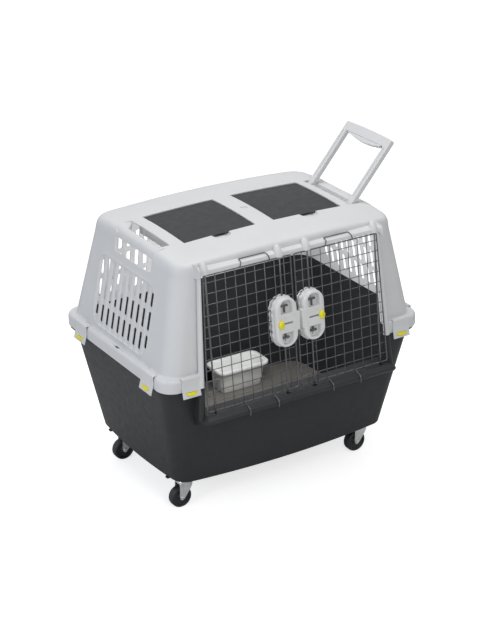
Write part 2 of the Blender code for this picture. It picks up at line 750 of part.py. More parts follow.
def upper_shell():
    """Hood with skirt, roof trays, hand-holds, vents and the door surround."""
    skin = upper_loops(0.0)
    inner = upper_loops(WALL)
    skirt_out = [level_loop(RIM_HALF_X, RIM_HALF_Y, CORNER_R, 0.0, SKIRT_BOTTOM_Z),
                 level_loop(RIM_HALF_X, RIM_HALF_Y, CORNER_R, 0.0, FLANGE_TOP_Z - 0.002),
                 level_loop(RIM_HALF_X - 0.002, RIM_HALF_Y - 0.002, CORNER_R, 0.0, FLANGE_TOP_Z)]
    skirt_in = [level_loop(RIM_HALF_X - SKIRT_T, RIM_HALF_Y - SKIRT_T, CORNER_R, 0.0, z)
                for z in (SEAT_Z, SKIRT_BOTTOM_Z)]
    body = loft(list(reversed(inner)) + skirt_in + skirt_out + skin)
    body = combine(body, header_and_jambs() + tray_blocks(), "UNION")
    body = combine(body, [doorway_cutter(-0.30, OPEN_TOP_V)], "DIFFERENCE")
    body = combine(body, [join(hand_hold_cutters()), join(end_vents() + rear_vents())], "DIFFERENCE")
    body = combine(body, bar_cores(), "UNION")
    body = combine(body, tray_cutters(), "DIFFERENCE")
    pin = move(cylinder(PIN_R + GAP, -SLOT_HALF_Y - 0.010 - GAP, SLOT_HALF_Y + 0.010 + GAP, 16),
               Matrix.Translation((PIVOT_X, ROOF_MID_Y, PIVOT_Z)) @ Matrix.Rotation(math.pi / 2, 4, "X"))
    small = box(SHELL_X - 0.003, SHELL_X + 0.003, -0.022, 0.0, roof_z(0, 0) - 0.0022, 0.80)
    bolt_end = OPEN_TOP_V - BOLT_GAP_TOP + BOLT_REACH
    sockets = rod_sockets((OPEN_TOP_V - 0.02, OPEN_TOP_V + SOCKET_DEPTH + 0.003),
                          (OPEN_TOP_V - 0.02, bolt_end + 0.002))
    body = combine(body, [join(sockets), pin, small], "DIFFERENCE")
    ob = new_object("upper_shell", body, LIGHT_GREY)
    shade(ob)
    return ob


# doors

def frame_edge_u(v):
    """Centre of the outer upright frame wire at height v."""
    return opening_half(v) - DOOR_CLEAR


def door_grille(side, parent):
    """Frame, hinge rod, mesh wires, header loop and sill hooks of one door as one body."""
    name = "left_door_grille" if side < 0 else "right_door_grille"
    out = (0.0, -COS_L, SIN_L)
    top, low = DOOR_TOP_V, DOOR_BOTTOM_V
    meet = DOOR_MEET_U
    flat = door_point(0, 0, 1) - door_point(0, 0, 0)
    frame = []
    r = FRAME_WIRE_R
    frame.append(tube([door_point(side * frame_edge_u(top), top + r * 0.7, 0),
                       door_point(side * frame_edge_u(low), low - r * 0.7, 0)], r, 6, flat))
    frame.append(tube([door_point(side * meet, top + r * 0.6, 0), door_point(side * meet, low - r * 0.6, 0)],
                      r, 6, flat))
    for v in (top, low):
        frame.append(tube([door_point(side * (frame_edge_u(v) + r * 0.5), v, 0.0),
                           door_point(side * (meet - r * 0.4), v, 0.0)], r * 0.97, 6, flat))
    rod = [door_point(side * HINGE_U, SILL_V - SOCKET_DEPTH + GAP, 0),
           door_point(side * HINGE_U, OPEN_TOP_V + SOCKET_DEPTH + 0.001, 0)]
    body = combine(frame[0], frame[1:] + [tube(rod, HINGE_R, 8, flat)], "UNION", "MANIFOLD")
    uprights = []
    for k in range(MESH_COLUMNS):
        u = side * (MESH_FIRST_U + MESH_PITCH_U * k)
        uprights.append(tube([door_point(u, top - 0.0002, LAYER), door_point(u, low + 0.0002, LAYER)],
                             MESH_WIRE_R, 6, flat))
    levels = []
    for k in range(MESH_ROWS):
        v = MESH_FIRST_V - MESH_PITCH_V * k
        levels.append(tube([door_point(side * (frame_edge_u(v) + 0.0002), v, -LAYER),
                            door_point(side * (meet - 0.0002), v, -LAYER)], MESH_WIRE_R, 6, flat))
    body = combine(body, [join(levels), join(uprights)], "UNION", "MANIFOLD")
    face = 0.003 + 0.0006 + MESH_WIRE_R
    rise = [(top, 0.001), (top + 0.002, face), (top + 0.0100, face), (top + 0.0190, face - 0.0180)]
    loop_path = [(0.0725, v, n) for v, n in rise] + [(0.1615, v, n) for v, n in reversed(rise)]
    extra = [tube([door_point(side * u, v, n) for u, v, n in loop_path], MESH_WIRE_R, 6, out)]
    for u in (0.0863, 0.1745):
        reach = NOSE_N + 0.0008 + MESH_WIRE_R
        path = [(u, low, 0.001), (u, low - 0.0010, 0.012), (u, low - 0.0102, reach), (u, low - 0.0275, reach)]
        extra.append(tube([door_point(side * a, v, n) for a, v, n in path], MESH_WIRE_R, 6, (1, 0, 0)))
    body = combine(body, extra, "UNION", "MANIFOLD")
    ob = new_object(name, body, WIRE, parent)
    shade(ob)
    return ob


# latches

def stadium(half_w, half_h, steps, wave=0.0):
    """Oval outline; `wave` pulls every other point inwards for the finger scallops."""
    pts = []
    straight = half_h - half_w
    for i in range(steps + 1):
        a = -math.pi + math.pi * i / steps
        r = half_w - (wave if i % 2 else 0.0)
        pts.append((r * math.cos(a), -straight + r * math.sin(a)))
    side = 4
    for i in range(1, side):
        pts.append((half_w - (wave if i % 2 else 0.0), -straight + 2 * straight * i / side))
    for i in range(steps + 1):
        a = math.pi * i / steps
        r = half_w - (wave if i % 2 else 0.0)
        pts.append((r * math.cos(a), straight + r * math.sin(a)))
    for i in range(1, side):
        pts.append((-half_w + (wave if i % 2 else 0.0), straight - 2 * straight * i / side))
    return pts


def latch_local(side):
    """Placement function of one latch: across, up and out from its centre."""
    def place(a, b, n):
        return door_point(side * (LATCH_U + a), LATCH_V + b, n)
    return place


POCKET_NEAR, POCKET_FAR = 0.021, 0.054


def latch_housing(side, parent):
    """Oval housing with scalloped sides, two pockets, the knob slot and the bolt channel."""
    place = latch_local(side)
    back = LAYER + MESH_WIRE_R + GAP
    outer = stadium(LATCH_HALF_W, LATCH_HALF_H, 12, 0.0012)
    face = stadium(LATCH_HALF_W - 0.005, LATCH_HALF_H - 0.005, 12)
    loops = [[place(a, b, back) for a, b in outer],
             [place(a, b, LATCH_FRONT - 0.006) for a, b in outer],
             [place(a, b, LATCH_FRONT) for a, b in face]]
    body = loft(loops)
    cutters = []
    floor = BOLT_N + BOLT_R + 0.0012
    for sign in (-1, 1):
        near, far = sign * POCKET_NEAR, sign * POCKET_FAR
        outline = [(-0.0115, near), (0.0115, near), (0.0115, far * 0.93), (0.006, far),
                   (-0.006, far), (-0.0115, far * 0.93)]
        cutters.append(prism(outline, floor, LATCH_FRONT + 0.01, place))
    channel = [(-0.0029, -0.080), (0.0029, -0.080), (0.0029, 0.080), (-0.0029, 0.080)]
    cutters.append(prism(channel, -0.002, floor + 0.0006, place))
    slot = [(-0.0150, -0.0030), (0.0300, -0.0030), (0.0300, 0.0030), (-0.0150, 0.0030)]
    cutters.append(prism(slot, LATCH_FRONT - 0.008, LATCH_FRONT + 0.01, place))
    body = combine(body, cutters, "DIFFERENCE")
    tab = [(-LATCH_HALF_W - 0.0040, -0.013), (-LATCH_HALF_W + 0.004, -0.015),
           (-LATCH_HALF_W + 0.004, 0.015), (-LATCH_HALF_W - 0.0040, 0.013)]
    body = combine(body, [prism(tab, back + 0.004, LATCH_FRONT - 0.008, place)], "UNION")
    name = ("left" if side < 0 else "right") + "_latch_housing"
    ob = new_object(name, body, LATCH_GREY, parent)
    shade(ob, 25)
    return ob


def latch_back_plate(side, parent):
    place = latch_local(side)
    front = -(LAYER + MESH_WIRE_R + GAP)
    outline = stadium(LATCH_HALF_W - 0.004, LATCH_HALF_H - 0.004, 8)
    body = prism(outline, front - LATCH_BACK_T, front, place)
    name = ("left" if side < 0 else "right") + "_latch_back_plate"
    ob = new_object(name, body, LATCH_GREY, parent)
    shade(ob, 25)
    return ob


def latch_knob(side, parent):
    """Yellow slider at the outer end of its slot: a stem in the slot and a ridged head."""
    place = latch_local(side)
    a0 = 0.0205
    stem = prism([(a0 - 0.006, -0.0027), (a0 + 0.006, -0.0027), (a0 + 0.006, 0.0027),
                  (a0 - 0.006, 0.0027)], LATCH_FRONT - 0.008 + GAP, LATCH_FRONT + 0.002, place)
    steps = 14
    outline = [(a0 + KNOB_R * 0.82 * math.cos(2 * math.pi * i / steps),
                KNOB_R * 1.25 * math.sin(2 * math.pi * i / steps)) for i in range(steps)]
    head = prism(outline, LATCH_FRONT + GAP, LATCH_FRONT + 0.006, place)
    ridge = prism([(a0 - 0.0016, -0.0085), (a0 + 0.0016, -0.0085), (a0 + 0.0016, 0.0085),
                   (a0 - 0.0016, 0.0085)], LATCH_FRONT + 0.005, LATCH_FRONT + 0.0095, place)
    body = combine(head, [stem, ridge], "UNION")
    name = ("left" if side < 0 else "right") + "_latch_knob"
    ob = new_object(name, body, YELLOW, parent)
    shade(ob, 30)
    return ob


def latch_bolt(side, sign, parent):
    """Round bolt that runs up into the header (sign 1) or down into the sill (sign -1)."""
    place = latch_local(side)
    flat = door_point(0, 0, 1) - door_point(0, 0, 0)
    tip = (OPEN_TOP_V - BOLT_GAP_TOP if sign > 0 else SILL_V + BOLT_GAP_SILL) - LATCH_V
    root = sign * (POCKET_NEAR + 0.003)
    rod = tube([place(0, root, BOLT_N), place(0, tip, BOLT_N)], BOLT_R, 10, flat)
    rest = BOLT_N + BOLT_R + 0.0012 + GAP
    neck = prism([(-0.0020, root), (0.0020, root), (0.0020, root + sign * 0.006), (-0.0020, root + sign * 0.006)],
                 BOLT_N, rest + 0.002, place)
    head = [(-0.0095, root), (0.0095, root), (0.0095, root + sign * 0.0055),
            (0.0028, root + sign * 0.0065), (0.0028, root + sign * 0.0150),
            (-0.0028, root + sign * 0.0150), (-0.0028, root + sign * 0.0065), (-0.0095, root + sign * 0.0055)]
    body = combine(rod, [neck, prism(head, rest, rest + 0.005, place)], "UNION")
    name = "%s_%s_bolt" % ("left" if side < 0 else "right", "upper" if sign > 0 else "lower")
    ob = new_object(name, body, WIRE, parent)
    shade(ob, 30)
    return ob


# rim clips

def clip_places():
    """Name, middle of the clip on the rim, along direction and outward direction."""
    front, back = Vector((0, -1, 0)), Vector((0, 1, 0))
    left, right = Vector((-1, 0, 0)), Vector((1, 0, 0))
    mid = ROOF_MID_Y
    spots = [
        ("front_left", (-CLIP_FRONT_X, -RIM_HALF_Y), front, CLIP_W_FRONT),
        ("front_right", (CLIP_FRONT_X, -RIM_HALF_Y), front, CLIP_W_FRONT),
        ("rear_left", (-CLIP_REAR_X, RIM_HALF_Y), back, CLIP_W_END),
        ("rear_right", (CLIP_REAR_X, RIM_HALF_Y), back, CLIP_W_END),
        ("left_front", (-RIM_HALF_X, mid - CLIP_END_Y), left, CLIP_W_END),
        ("left_rear", (-RIM_HALF_X, mid + CLIP_END_Y), left, CLIP_W_END),
        ("right_front", (RIM_HALF_X, mid - CLIP_END_Y), right, CLIP_W_END),
        ("right_rear", (RIM_HALF_X, mid + CLIP_END_Y), right, CLIP_W_END),
    ]
    return [(name, Vector((SHELL_X + x, y, 0)), way, width) for name, (x, y), way, width in spots]


CLIP_AXIS_O = -0.0090                       # hinge line, inwards from the skirt's face
CLIP_AXIS_Z = FLANGE_TOP_Z + GAP + 0.0020
CLIP_BEND_Z = 0.428


def clip_place(base, outward):
    along = Vector((0, 0, 1)).cross(outward)

    def place(o, z, a):
        return base + outward * o + along * a + Vector((0, 0, z))
    return place, along


def clip_leg_point(s, depth):
    """Point on the flared leg: s runs 0 to 1 down the leg, depth inwards from its face."""
    run, fall = CLIP_FLARE, CLIP_BEND_Z - CLIP_BOTTOM_Z
    length = math.hypot(run, fall)
    o = GAP + CLIP_T + run * s - depth * fall / length
    z = CLIP_BEND_Z - fall * s - depth * run / length
    return o, z


def half_moon(half_w, height, s_top):
    """Button outline on the leg: (along, s) points, flat edge on top."""
    length = math.hypot(CLIP_FLARE, CLIP_BEND_Z - CLIP_BOTTOM_Z)
    pts = [(-half_w, s_top), (-half_w * 0.92, s_top + 0.35 * height / length),
           (-half_w * 0.6, s_top + 0.8 * height / length), (-half_w * 0.25, s_top + height / length)]
    return pts + [(-a, s) for a, s in reversed(pts)]


def rim_clip(name, base, outward, width, parent):
    """Clip bent over the rim with a flared leg and a half-moon opening for its button."""
    place, _ = clip_place(base, outward)
    low = FLANGE_TOP_Z + GAP
    foot_out, foot_in = clip_leg_point(1.0, 0.0), clip_leg_point(1.0, CLIP_T)
    profile = [(CLIP_AXIS_O - 0.0009, low), (GAP, low), (GAP, CLIP_BEND_Z), foot_in, foot_out,
               (GAP + CLIP_T, CLIP_BEND_Z), (GAP + CLIP_T, low + 0.0015), (GAP + CLIP_T - 0.0015, low + CLIP_T),
               (CLIP_AXIS_O - 0.0003, low + CLIP_T), (CLIP_AXIS_O - 0.0009, low + CLIP_T - 0.001)]
    body = prism(profile, -width / 2, width / 2, place)
    hole = [[place(*clip_leg_point(s, d), a) for a, s in half_moon(BUTTON_HALF_W + GAP, 0.0108, BUTTON_TOP_S - 0.01)]
            for d in (CLIP_T + 0.004, -0.004)]
    body = combine(body, [loft(hole)], "DIFFERENCE")
    ob = new_object(name + "_clip", body, LIGHT_GREY, parent)
    shade(ob, 30)
    return ob


def clip_button(name, base, outward, parent):
    """Half-moon push button, a little proud of the clip's leg."""
    place, _ = clip_place(base, outward)
    loops = []
    for depth, shrink in ((CLIP_T - 0.0013, 0.0), (-0.0006, 0.0), (-0.0013, 0.0012)):
        outline = half_moon(BUTTON_HALF_W - shrink, 0.0102 - shrink, BUTTON_TOP_S + 0.5 * shrink / 0.032)
        loops.append([place(*clip_leg_point(s, depth), a) for a, s in outline])
    ob = new_object(name + "_button", loft(loops), YELLOW, parent)
    shade(ob, 30)
    return ob


# roof lids, tow handle

def roof_lid(side, parent):
    """Lid that lies just under the roof's skin, with a finger notch at its front edge."""
    x0, x1 = lid_span(side)
    y0, y1 = ROOF_MID_Y - LID_HALF_Y, ROOF_MID_Y + LID_HALF_Y
    body = roof_prism(x0, x1, y0, y1, -LID_SINK, -LID_SINK - LID_T)
    mid = (x0 + x1) / 2
    notch = move(cylinder(0.0150, -0.03, 0.02, 12), Matrix.Translation((mid, y0 - 0.0070, CROWN_Z)))
    body = combine(body, [notch], "DIFFERENCE")
    ob = new_object(("left" if side < 0 else "right") + "_roof_lid", body, LID_GREY, parent)
    shade(ob, 30)
    return ob


def handle_place(along, across, out):
    """Handle coordinates: up the arms, along the crate's Y, and out of its upper face."""
    s, c = math.sin(HANDLE_LEAN), math.cos(HANDLE_LEAN)
    return Vector((PIVOT_X + along * s - out * c, ROOF_MID_Y + across, PIVOT_Z + along * c + out * s))


def slab(a0, a1, w0, w1, t0, t1):
    return prism([(a0, w0), (a1, w0), (a1, w1), (a0, w1)], t0, t1, lambda a, w, t: handle_place(a, w, t))


def tow_handle(parent):
    """Bowed top bar with two grooved arms, each ending in an eye on the pin."""
    half_t = ARM_T / 2
    outline = [(0.0, -HANDLE_HALF_W), (HANDLE_LENGTH - 0.004, -HANDLE_HALF_W),
               (HANDLE_LENGTH, -HANDLE_HALF_W + 0.004), (HANDLE_LENGTH, HANDLE_HALF_W - 0.004),
               (HANDLE_LENGTH - 0.004, HANDLE_HALF_W), (0.0, HANDLE_HALF_W)]
    body = prism(outline, -half_t, half_t, handle_place)
    inner = HANDLE_LENGTH - BAR_W
    body = combine(body, [slab(-0.02, inner, -HANDLE_HALF_W + ARM_W, HANDLE_HALF_W - ARM_W, -0.02, 0.02)],
                   "DIFFERENCE")
    eyes, bores, grooves = [], [], []
    for end in (-1, 1):
        y0, y1 = sorted((end * (HANDLE_HALF_W - ARM_W), end * HANDLE_HALF_W))

        def turned(x, y, h):
            return Vector((PIVOT_X + x, ROOF_MID_Y + h, PIVOT_Z + y))
        eyes.append(revolve([(EYE_R, y0), (EYE_R, y1)], 16, turned))
        bores.append(revolve([(PIN_R + GAP, y0 - 0.01), (PIN_R + GAP, y1 + 0.01)], 16, turned))
        mid = (y0 + y1) / 2
        grooves.append(slab(0.030, inner - 0.004, mid - 0.002, mid + 0.002, half_t - 0.0015, half_t + 0.01))
    body = combine(body, eyes, "UNION")
    body = combine(body, bores + grooves, "DIFFERENCE")
    ob = new_object("tow_handle_frame", body, LIGHT_GREY, parent)
    shade(ob, 30)
    return ob


def handle_grip(parent):
    """Lens-shaped ribbed grip under the top bar."""
    half = HANDLE_HALF_W - ARM_W - 0.010
    top = HANDLE_LENGTH - BAR_W - GAP
    ribs = 12
    outline = [(top, half), (top, -half)]
    for i in range(2 * ribs + 1):
        w = -half + 2 * half * i / (2 * ribs)
        depth = 0.0025 + 0.0085 * (1 - (w / half) ** 2)
        outline.append((top - depth + (0.0014 if i % 2 else 0.0), w))
    body = prism(outline, -ARM_T / 2 + 0.0015, ARM_T / 2 - 0.0015, handle_place)
    ob = new_object("tow_handle_grip", body, LIGHT_GREY, parent)
    shade(ob, 20)
    return ob


def handle_pin(parent):
    pin = cylinder(PIN_R, -SLOT_HALF_Y - 0.010, SLOT_HALF_Y + 0.010, 16)
    turn = Matrix.Translation((PIVOT_X, ROOF_MID_Y, PIVOT_Z)) @ Matrix.Rotation(math.pi / 2, 4, "X")
    ob = new_object("tow_handle_pin", move(pin, turn), ZINC, parent)
    shade(ob, 30)
    return ob


# floor and bowl

def drain_holes():
    """Holes in small clusters of four along the floor."""
    cutters = []
    for ix in range(-3, 4):
        for iy in range(-2, 3):
            if (ix + iy) % 2:
                continue
            x, y = ix * 0.085, iy * 0.075
            spots = ((0.0, 0.0), (0.020, 0.010)) if ix % 2 else ((-0.010, 0.0),)
            for dx, dy in spots:
                cutters.append(move(cylinder(DRAIN_R, -0.02, 0.02, 8),
                                    Matrix.Translation((x + dx, y + dy, FLOOR_TOP_Z))))
    return cutters


def floor_panel():
    """Raised perforated floor on short feet."""
    under = FLOOR_TOP_Z - FLOOR_T
    half_x, half_y, bow = lower_half(under)
    inset = WALL + FLOOR_INSET
    loops = [level_loop(half_x - inset, half_y - inset, CORNER_R - inset, bow, z)
             for z in (under, FLOOR_TOP_Z)]
    body = loft(loops)
    feet = []
    for x in (-0.2285, 0.0215, 0.2715):
        for y in (-0.14, 0.14):
            feet.append(move(cylinder(0.010, INNER_FLOOR_Z + GAP, under + 0.001, 8),
                             Matrix.Translation((x, y, 0))))
    body = combine(body, [join(feet)], "UNION")
    body = combine(body, [join(drain_holes())], "DIFFERENCE")
    ob = new_object("floor_panel", body, FLOOR_GREY)
    shade(ob)
    return ob


def food_bowl(parent):
    """Rectangular bowl with a broad rim."""
    base_z = FLOOR_TOP_Z + GAP

    def ring(half_x, half_y, radius, z):
        pts = plan_loop(half_x, -half_y, half_y, radius, 0.0, 0.0, lambda x, y: z,
                        corner=4, long_side=2, short_side=2)
        return [(BOWL_X - SHELL_X + x, BOWL_Y + y, zz) for x, y, zz in pts]
    hx, hy, w = BOWL_HALF_X, BOWL_HALF_Y, BOWL_WALL
    loops = [ring(hx - 0.018, hy - 0.015, 0.016, base_z),
             ring(hx - 0.010, hy - 0.008, 0.018, base_z + BOWL_H - 0.010),
             ring(hx, hy, 0.020, base_z + BOWL_H - 0.008),
             ring(hx, hy, 0.020, base_z + BOWL_H - 0.001),
             ring(hx - 0.002, hy - 0.002, 0.020, base_z + BOWL_H),
             ring(hx - 0.010 - w, hy - 0.008 - w, 0.016, base_z + BOWL_H),
             ring(hx - 0.018 - w, hy - 0.015 - w, 0.014, base_z + w)]
    ob = new_object("food_bowl", loft(loops), WHITE, parent)
    shade(ob, 40)
    return ob


# casters

def caster(tag, x, y, root):
    """Mounting plate, swivelling fork, wheel and axle of one caster."""
    top = BOTTOM_Z - GAP
    plate_low = top - PLATE_T
    body = box(x - PLATE_HALF, x + PLATE_HALF, y - PLATE_HALF, y + PLATE_HALF, plate_low, top)
    bmesh.ops.bevel(body, geom=[e for e in body.edges if abs(e.verts[0].co.z - e.verts[1].co.z) > 0.001],
                    offset=0.006, segments=2, affect="EDGES")
    sign = -1 if x < 0 else 1
    lug = sorted((x + sign * (PLATE_HALF - 0.004), SHELL_X + sign * (BOTTOM_HALF_X + 0.003)))
    body = combine(body, [box(lug[0], lug[1], y - 0.006, y + 0.006, plate_low, top)], "UNION")
    plate = new_object(tag + "_caster_plate", body, BLACK)

    swivel = empty(tag + "_swivel", (x, y, plate_low), root)
    wx = x - WHEEL_TRAIL
    side_in = WHEEL_W / 2 + 0.0012
    side_out = side_in + FORK_T
    crown_top = GROUND_Z + WHEEL_R * 2 + 0.0115
    hub = GROUND_Z + WHEEL_R
    parts = []
    for s in (-1, 1):
        outline = [(wx - 0.0060, hub - 0.0060), (wx + 0.0030, hub - 0.0075),
                   (wx + 0.0110, hub + 0.0030), (x + 0.0210, crown_top - 0.0120),
                   (x + 0.0210, crown_top), (x - 0.0170, crown_top), (wx - 0.0080, hub + 0.004)]
        y0, y1 = sorted((y + s * side_in, y + s * side_out))
        parts.append(prism(outline, y0, y1, lambda a, b, d: Vector((a, d, b))))
    crown = box(x - 0.0170, x + 0.0210, y - side_out, y + side_out, crown_top - FORK_T, crown_top)
    king = move(cylinder(KING_R, crown_top - 0.001, plate_low - GAP, 14), Matrix.Translation((x, y, 0)))
    body = combine(crown, parts + [king], "UNION")

    def spin(a, b, h):
        return Vector((wx + a, y + h, hub + b))
    bore = revolve([(AXLE_R + GAP, -0.03), (AXLE_R + GAP, 0.03)], 10, spin)
    body = combine(body, [bore], "DIFFERENCE")
    body = move(body, Matrix.Translation((-x, -y, -plate_low)))
    fork = new_object(tag + "_caster_fork", body, ZINC, swivel)
    shade(fork, 30)

    axle_out = side_out + 0.0020
    axle = revolve([(AXLE_R + 0.0015, -axle_out), (AXLE_R + 0.0015, -side_out - GAP),
                    (AXLE_R, -side_out - GAP), (AXLE_R, side_out + GAP),
                    (AXLE_R + 0.0015, side_out + GAP), (AXLE_R + 0.0015, axle_out)], 10, spin)
    axle = move(axle, Matrix.Translation((-x, -y, -plate_low)))
    shade(new_object(tag + "_caster_axle", axle, ZINC, swivel), 30)

    half = WHEEL_W / 2
    rim = 0.006
    web = half - 0.004
    profile = [(AXLE_R + GAP, -half + 0.001), (0.012, -half + 0.001), (0.013, -web),
               (WHEEL_R - rim, -web), (WHEEL_R - rim, -half), (WHEEL_R - 0.002, -half),
               (WHEEL_R, -half + 0.003), (WHEEL_R, half - 0.003), (WHEEL_R - 0.002, half),
               (WHEEL_R - rim, half), (WHEEL_R - rim, web), (0.013, web),
               (0.012, half - 0.001), (AXLE_R + GAP, half - 0.001)]
    ring_bm = bmesh.new()
    sides = 16
    rings = []
    for radius, h in profile:
        ring = []
        for i in range(sides):
            a = -math.pi / 2 + 2 * math.pi * i / sides
            ring.append(ring_bm.verts.new((radius * math.cos(a), h, radius * math.sin(a))))
        rings.append(ring)
    rings.append(rings[0])
    for a, b in zip(rings, rings[1:]):
        for i in range(sides):
            j = (i + 1) % sides
            ring_bm.faces.new((a[i], a[j], b[j], b[i]))
    wheel = new_object(tag + "_caster_wheel", ring_bm, BLACK, swivel)
    wheel.location = (-WHEEL_TRAIL, 0.0, hub - plate_low)
    shade(wheel, 30)
    return plate


# putting it together

def on_axis(ob, location, parent):
    """Move an object's origin to its joint axis without moving its shape."""
    ob.data.transform(Matrix.Translation(-Vector(location)))
    ob.parent = parent
    ob.location = location


def build_doors(root):
    for side in (-1, 1):
        word = "left" if side < 0 else "right"
        hinge = door_point(side * HINGE_U, (SILL_V + OPEN_TOP_V) / 2, 0.0)
        pivot = empty(word + "_door_hinge", hinge, root)
        bpy.context.view_layer.update()
        pieces = [door_grille(side, None), latch_housing(side, None), latch_back_plate(side, None),
                  latch_knob(side, None), latch_bolt(side, 1, None), latch_bolt(side, -1, None)]
        for ob in pieces:
            ob.data.transform(Matrix.Translation(-hinge))
            ob.parent = pivot


def build_clips(root):
    for name, base, outward, width in clip_places():
        axis = base + outward * CLIP_AXIS_O + Vector((0, 0, CLIP_AXIS_Z))
        pivot = empty(name + "_clip_hinge", axis, root)
        for ob in (rim_clip(name, base, outward, width, None), clip_button(name, base, outward, None)):
            ob.data.transform(Matrix.Translation(-axis))
            ob.parent = pivot


def build_roof(root):
    for side in (-1, 1):
        x0, x1 = lid_span(side)
        y1 = ROOF_MID_Y + LID_HALF_Y
        mid = (x0 + x1) / 2
        on_axis(roof_lid(side, None), (mid, y1, roof_z(LID_INNER_X, y1) - LID_SINK), root)
    axis = Vector((PIVOT_X, ROOF_MID_Y, PIVOT_Z))
    pivot = empty("tow_handle_pivot", axis, root)
    for ob in (tow_handle(None), handle_grip(None)):
        ob.data.transform(Matrix.Translation(-axis))
        ob.parent = pivot
    handle_pin(root)


def centre_on_ground(root):
    """Shift the root so that the bounding box stands centred over the origin."""
    bpy.context.view_layer.update()
    low, high = Vector((9, 9, 9)), Vector((-9, -9, -9))
    for ob in bpy.data.objects:
        if ob.type != "MESH":
            continue
        for v in ob.data.vertices:
            p = ob.matrix_world @ v.co
            low = Vector(map(min, low, p))
            high = Vector(map(max, high, p))
    mid = (low + high) / 2
    root.location = (-mid.x, -mid.y, -low.z)
    bpy.context.view_layer.update()
    print("crate centre offset", [round(c, 6) for c in root.location])


def main():
    clear_scene()
    root = empty("crate", (0, 0, 0))
    for ob in (lower_shell(), upper_shell(), floor_panel()):
        ob.parent = root
    on_axis(food_bowl(None), (BOWL_X, BOWL_Y, FLOOR_TOP_Z + GAP), root)
    build_doors(root)
    build_clips(root)
    build_roof(root)
    for word_x, sx in (("left", -1), ("right", 1)):
        for word_y, sy in (("front", -1), ("rear", 1)):
            plate = caster("%s_%s" % (word_y, word_x), SHELL_X + sx * CASTER_X, sy * CASTER_Y, root)
            plate.parent = root
    centre_on_ground(root)


main()
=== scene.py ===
"""Dog travel crate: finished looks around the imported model, laid out as a Blender add-on."""
import math

import bmesh
import bpy
import numpy as np
from bpy.props import FloatProperty, FloatVectorProperty, PointerProperty
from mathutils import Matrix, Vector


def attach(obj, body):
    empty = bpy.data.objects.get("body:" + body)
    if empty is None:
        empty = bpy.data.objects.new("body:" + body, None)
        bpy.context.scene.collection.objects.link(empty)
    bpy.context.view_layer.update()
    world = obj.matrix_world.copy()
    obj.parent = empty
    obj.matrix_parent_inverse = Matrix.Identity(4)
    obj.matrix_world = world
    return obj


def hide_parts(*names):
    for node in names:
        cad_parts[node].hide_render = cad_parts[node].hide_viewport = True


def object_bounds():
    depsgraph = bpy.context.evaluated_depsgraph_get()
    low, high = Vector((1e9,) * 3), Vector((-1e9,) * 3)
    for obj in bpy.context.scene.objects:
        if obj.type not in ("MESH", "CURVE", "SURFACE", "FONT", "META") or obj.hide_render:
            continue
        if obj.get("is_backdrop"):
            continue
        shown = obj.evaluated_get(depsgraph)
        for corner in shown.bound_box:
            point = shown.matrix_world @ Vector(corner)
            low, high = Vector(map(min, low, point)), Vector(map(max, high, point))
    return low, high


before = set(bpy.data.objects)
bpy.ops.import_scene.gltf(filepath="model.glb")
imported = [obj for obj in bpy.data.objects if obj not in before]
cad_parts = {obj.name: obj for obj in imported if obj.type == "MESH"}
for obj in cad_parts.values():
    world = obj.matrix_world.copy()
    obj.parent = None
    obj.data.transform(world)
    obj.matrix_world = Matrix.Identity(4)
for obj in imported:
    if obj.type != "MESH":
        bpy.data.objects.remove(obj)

bl_info = {
    "name": "Dog Travel Crate",
    "version": (1, 0, 0),
    "blender": (4, 5, 0),
    "location": "3D View > Sidebar > Crate",
    "description": "Builds the shells, doors, latches, handle and casters of a dog travel crate",
    "category": "Object",
}

CAD_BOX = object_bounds()

# place of the crate's own axes in the model, in metres
OFFSET = np.array([-0.0075, 0.02025, -0.0070])

# shells
SHELL_X = 0.0075
WALL = 0.0035
BOTTOM_Z, BOTTOM_HALF_X, BOTTOM_HALF_Y, BOTTOM_BOW = 0.108, 0.335, 0.220, 0.018
CORNER_R, EDGE_R = 0.045, 0.006
RIM_HALF_X, RIM_HALF_Y, RIM_BOTTOM_Z, RIM_TOP_Z = 0.4055, 0.2765, 0.404, 0.4425
WALL_TOP_HALF_X, WALL_TOP_HALF_Y = RIM_HALF_X - 0.0145, RIM_HALF_Y - 0.013
HOOD_HALF_X, HOOD_HALF_Y = RIM_HALF_X - 0.019, RIM_HALF_Y - 0.013
SKIRT_T, SKIRT_BOTTOM_Z, SEAT_Z = 0.0030, 0.412, 0.4428
FLANGE_TOP_Z = SEAT_Z + 0.0040
SHOULDER_Z, SHOULDER_HALF_X, SHOULDER_FRONT, SHOULDER_BACK = 0.690, 0.339, 0.231, 0.227
CROWN_Z, CROWN_X, CROWN_Y, ROOF_BOW, ROOF_MID_Y = 0.752, 0.10, 0.25, 0.006, -0.0145
INNER_FLOOR_Z = BOTTOM_Z + WALL + 0.001

# doorway and doors
DOOR_Y, DOOR_LEAN = -0.2515, math.radians(7.2)
SIN_L, COS_L = math.sin(DOOR_LEAN), math.cos(DOOR_LEAN)
OPEN_TOP_V, SILL_V, OPEN_TOP_HALF, OPEN_BOTTOM_HALF = 0.0165, -0.3540, 0.2715, 0.2890
JAMB_W, NOSE_N, HINGE_U, DOOR_CLEAR, DOOR_MEET_U = 0.012, 0.0265, 0.2610, 0.0045, 0.0055
DOOR_TOP_V, DOOR_BOTTOM_V = 0.0125, -0.3470
MESH_PITCH_U, MESH_PITCH_V, MESH_FIRST_U, MESH_FIRST_V = 0.0294, 0.0288, 0.0275, -0.0065
LAYER = 0.0011                  # wires lie this far before and behind the plane
MESH_R, WIRE_VISIBLE_R, LOOP_R = 0.0014, 0.00112, 0.0014

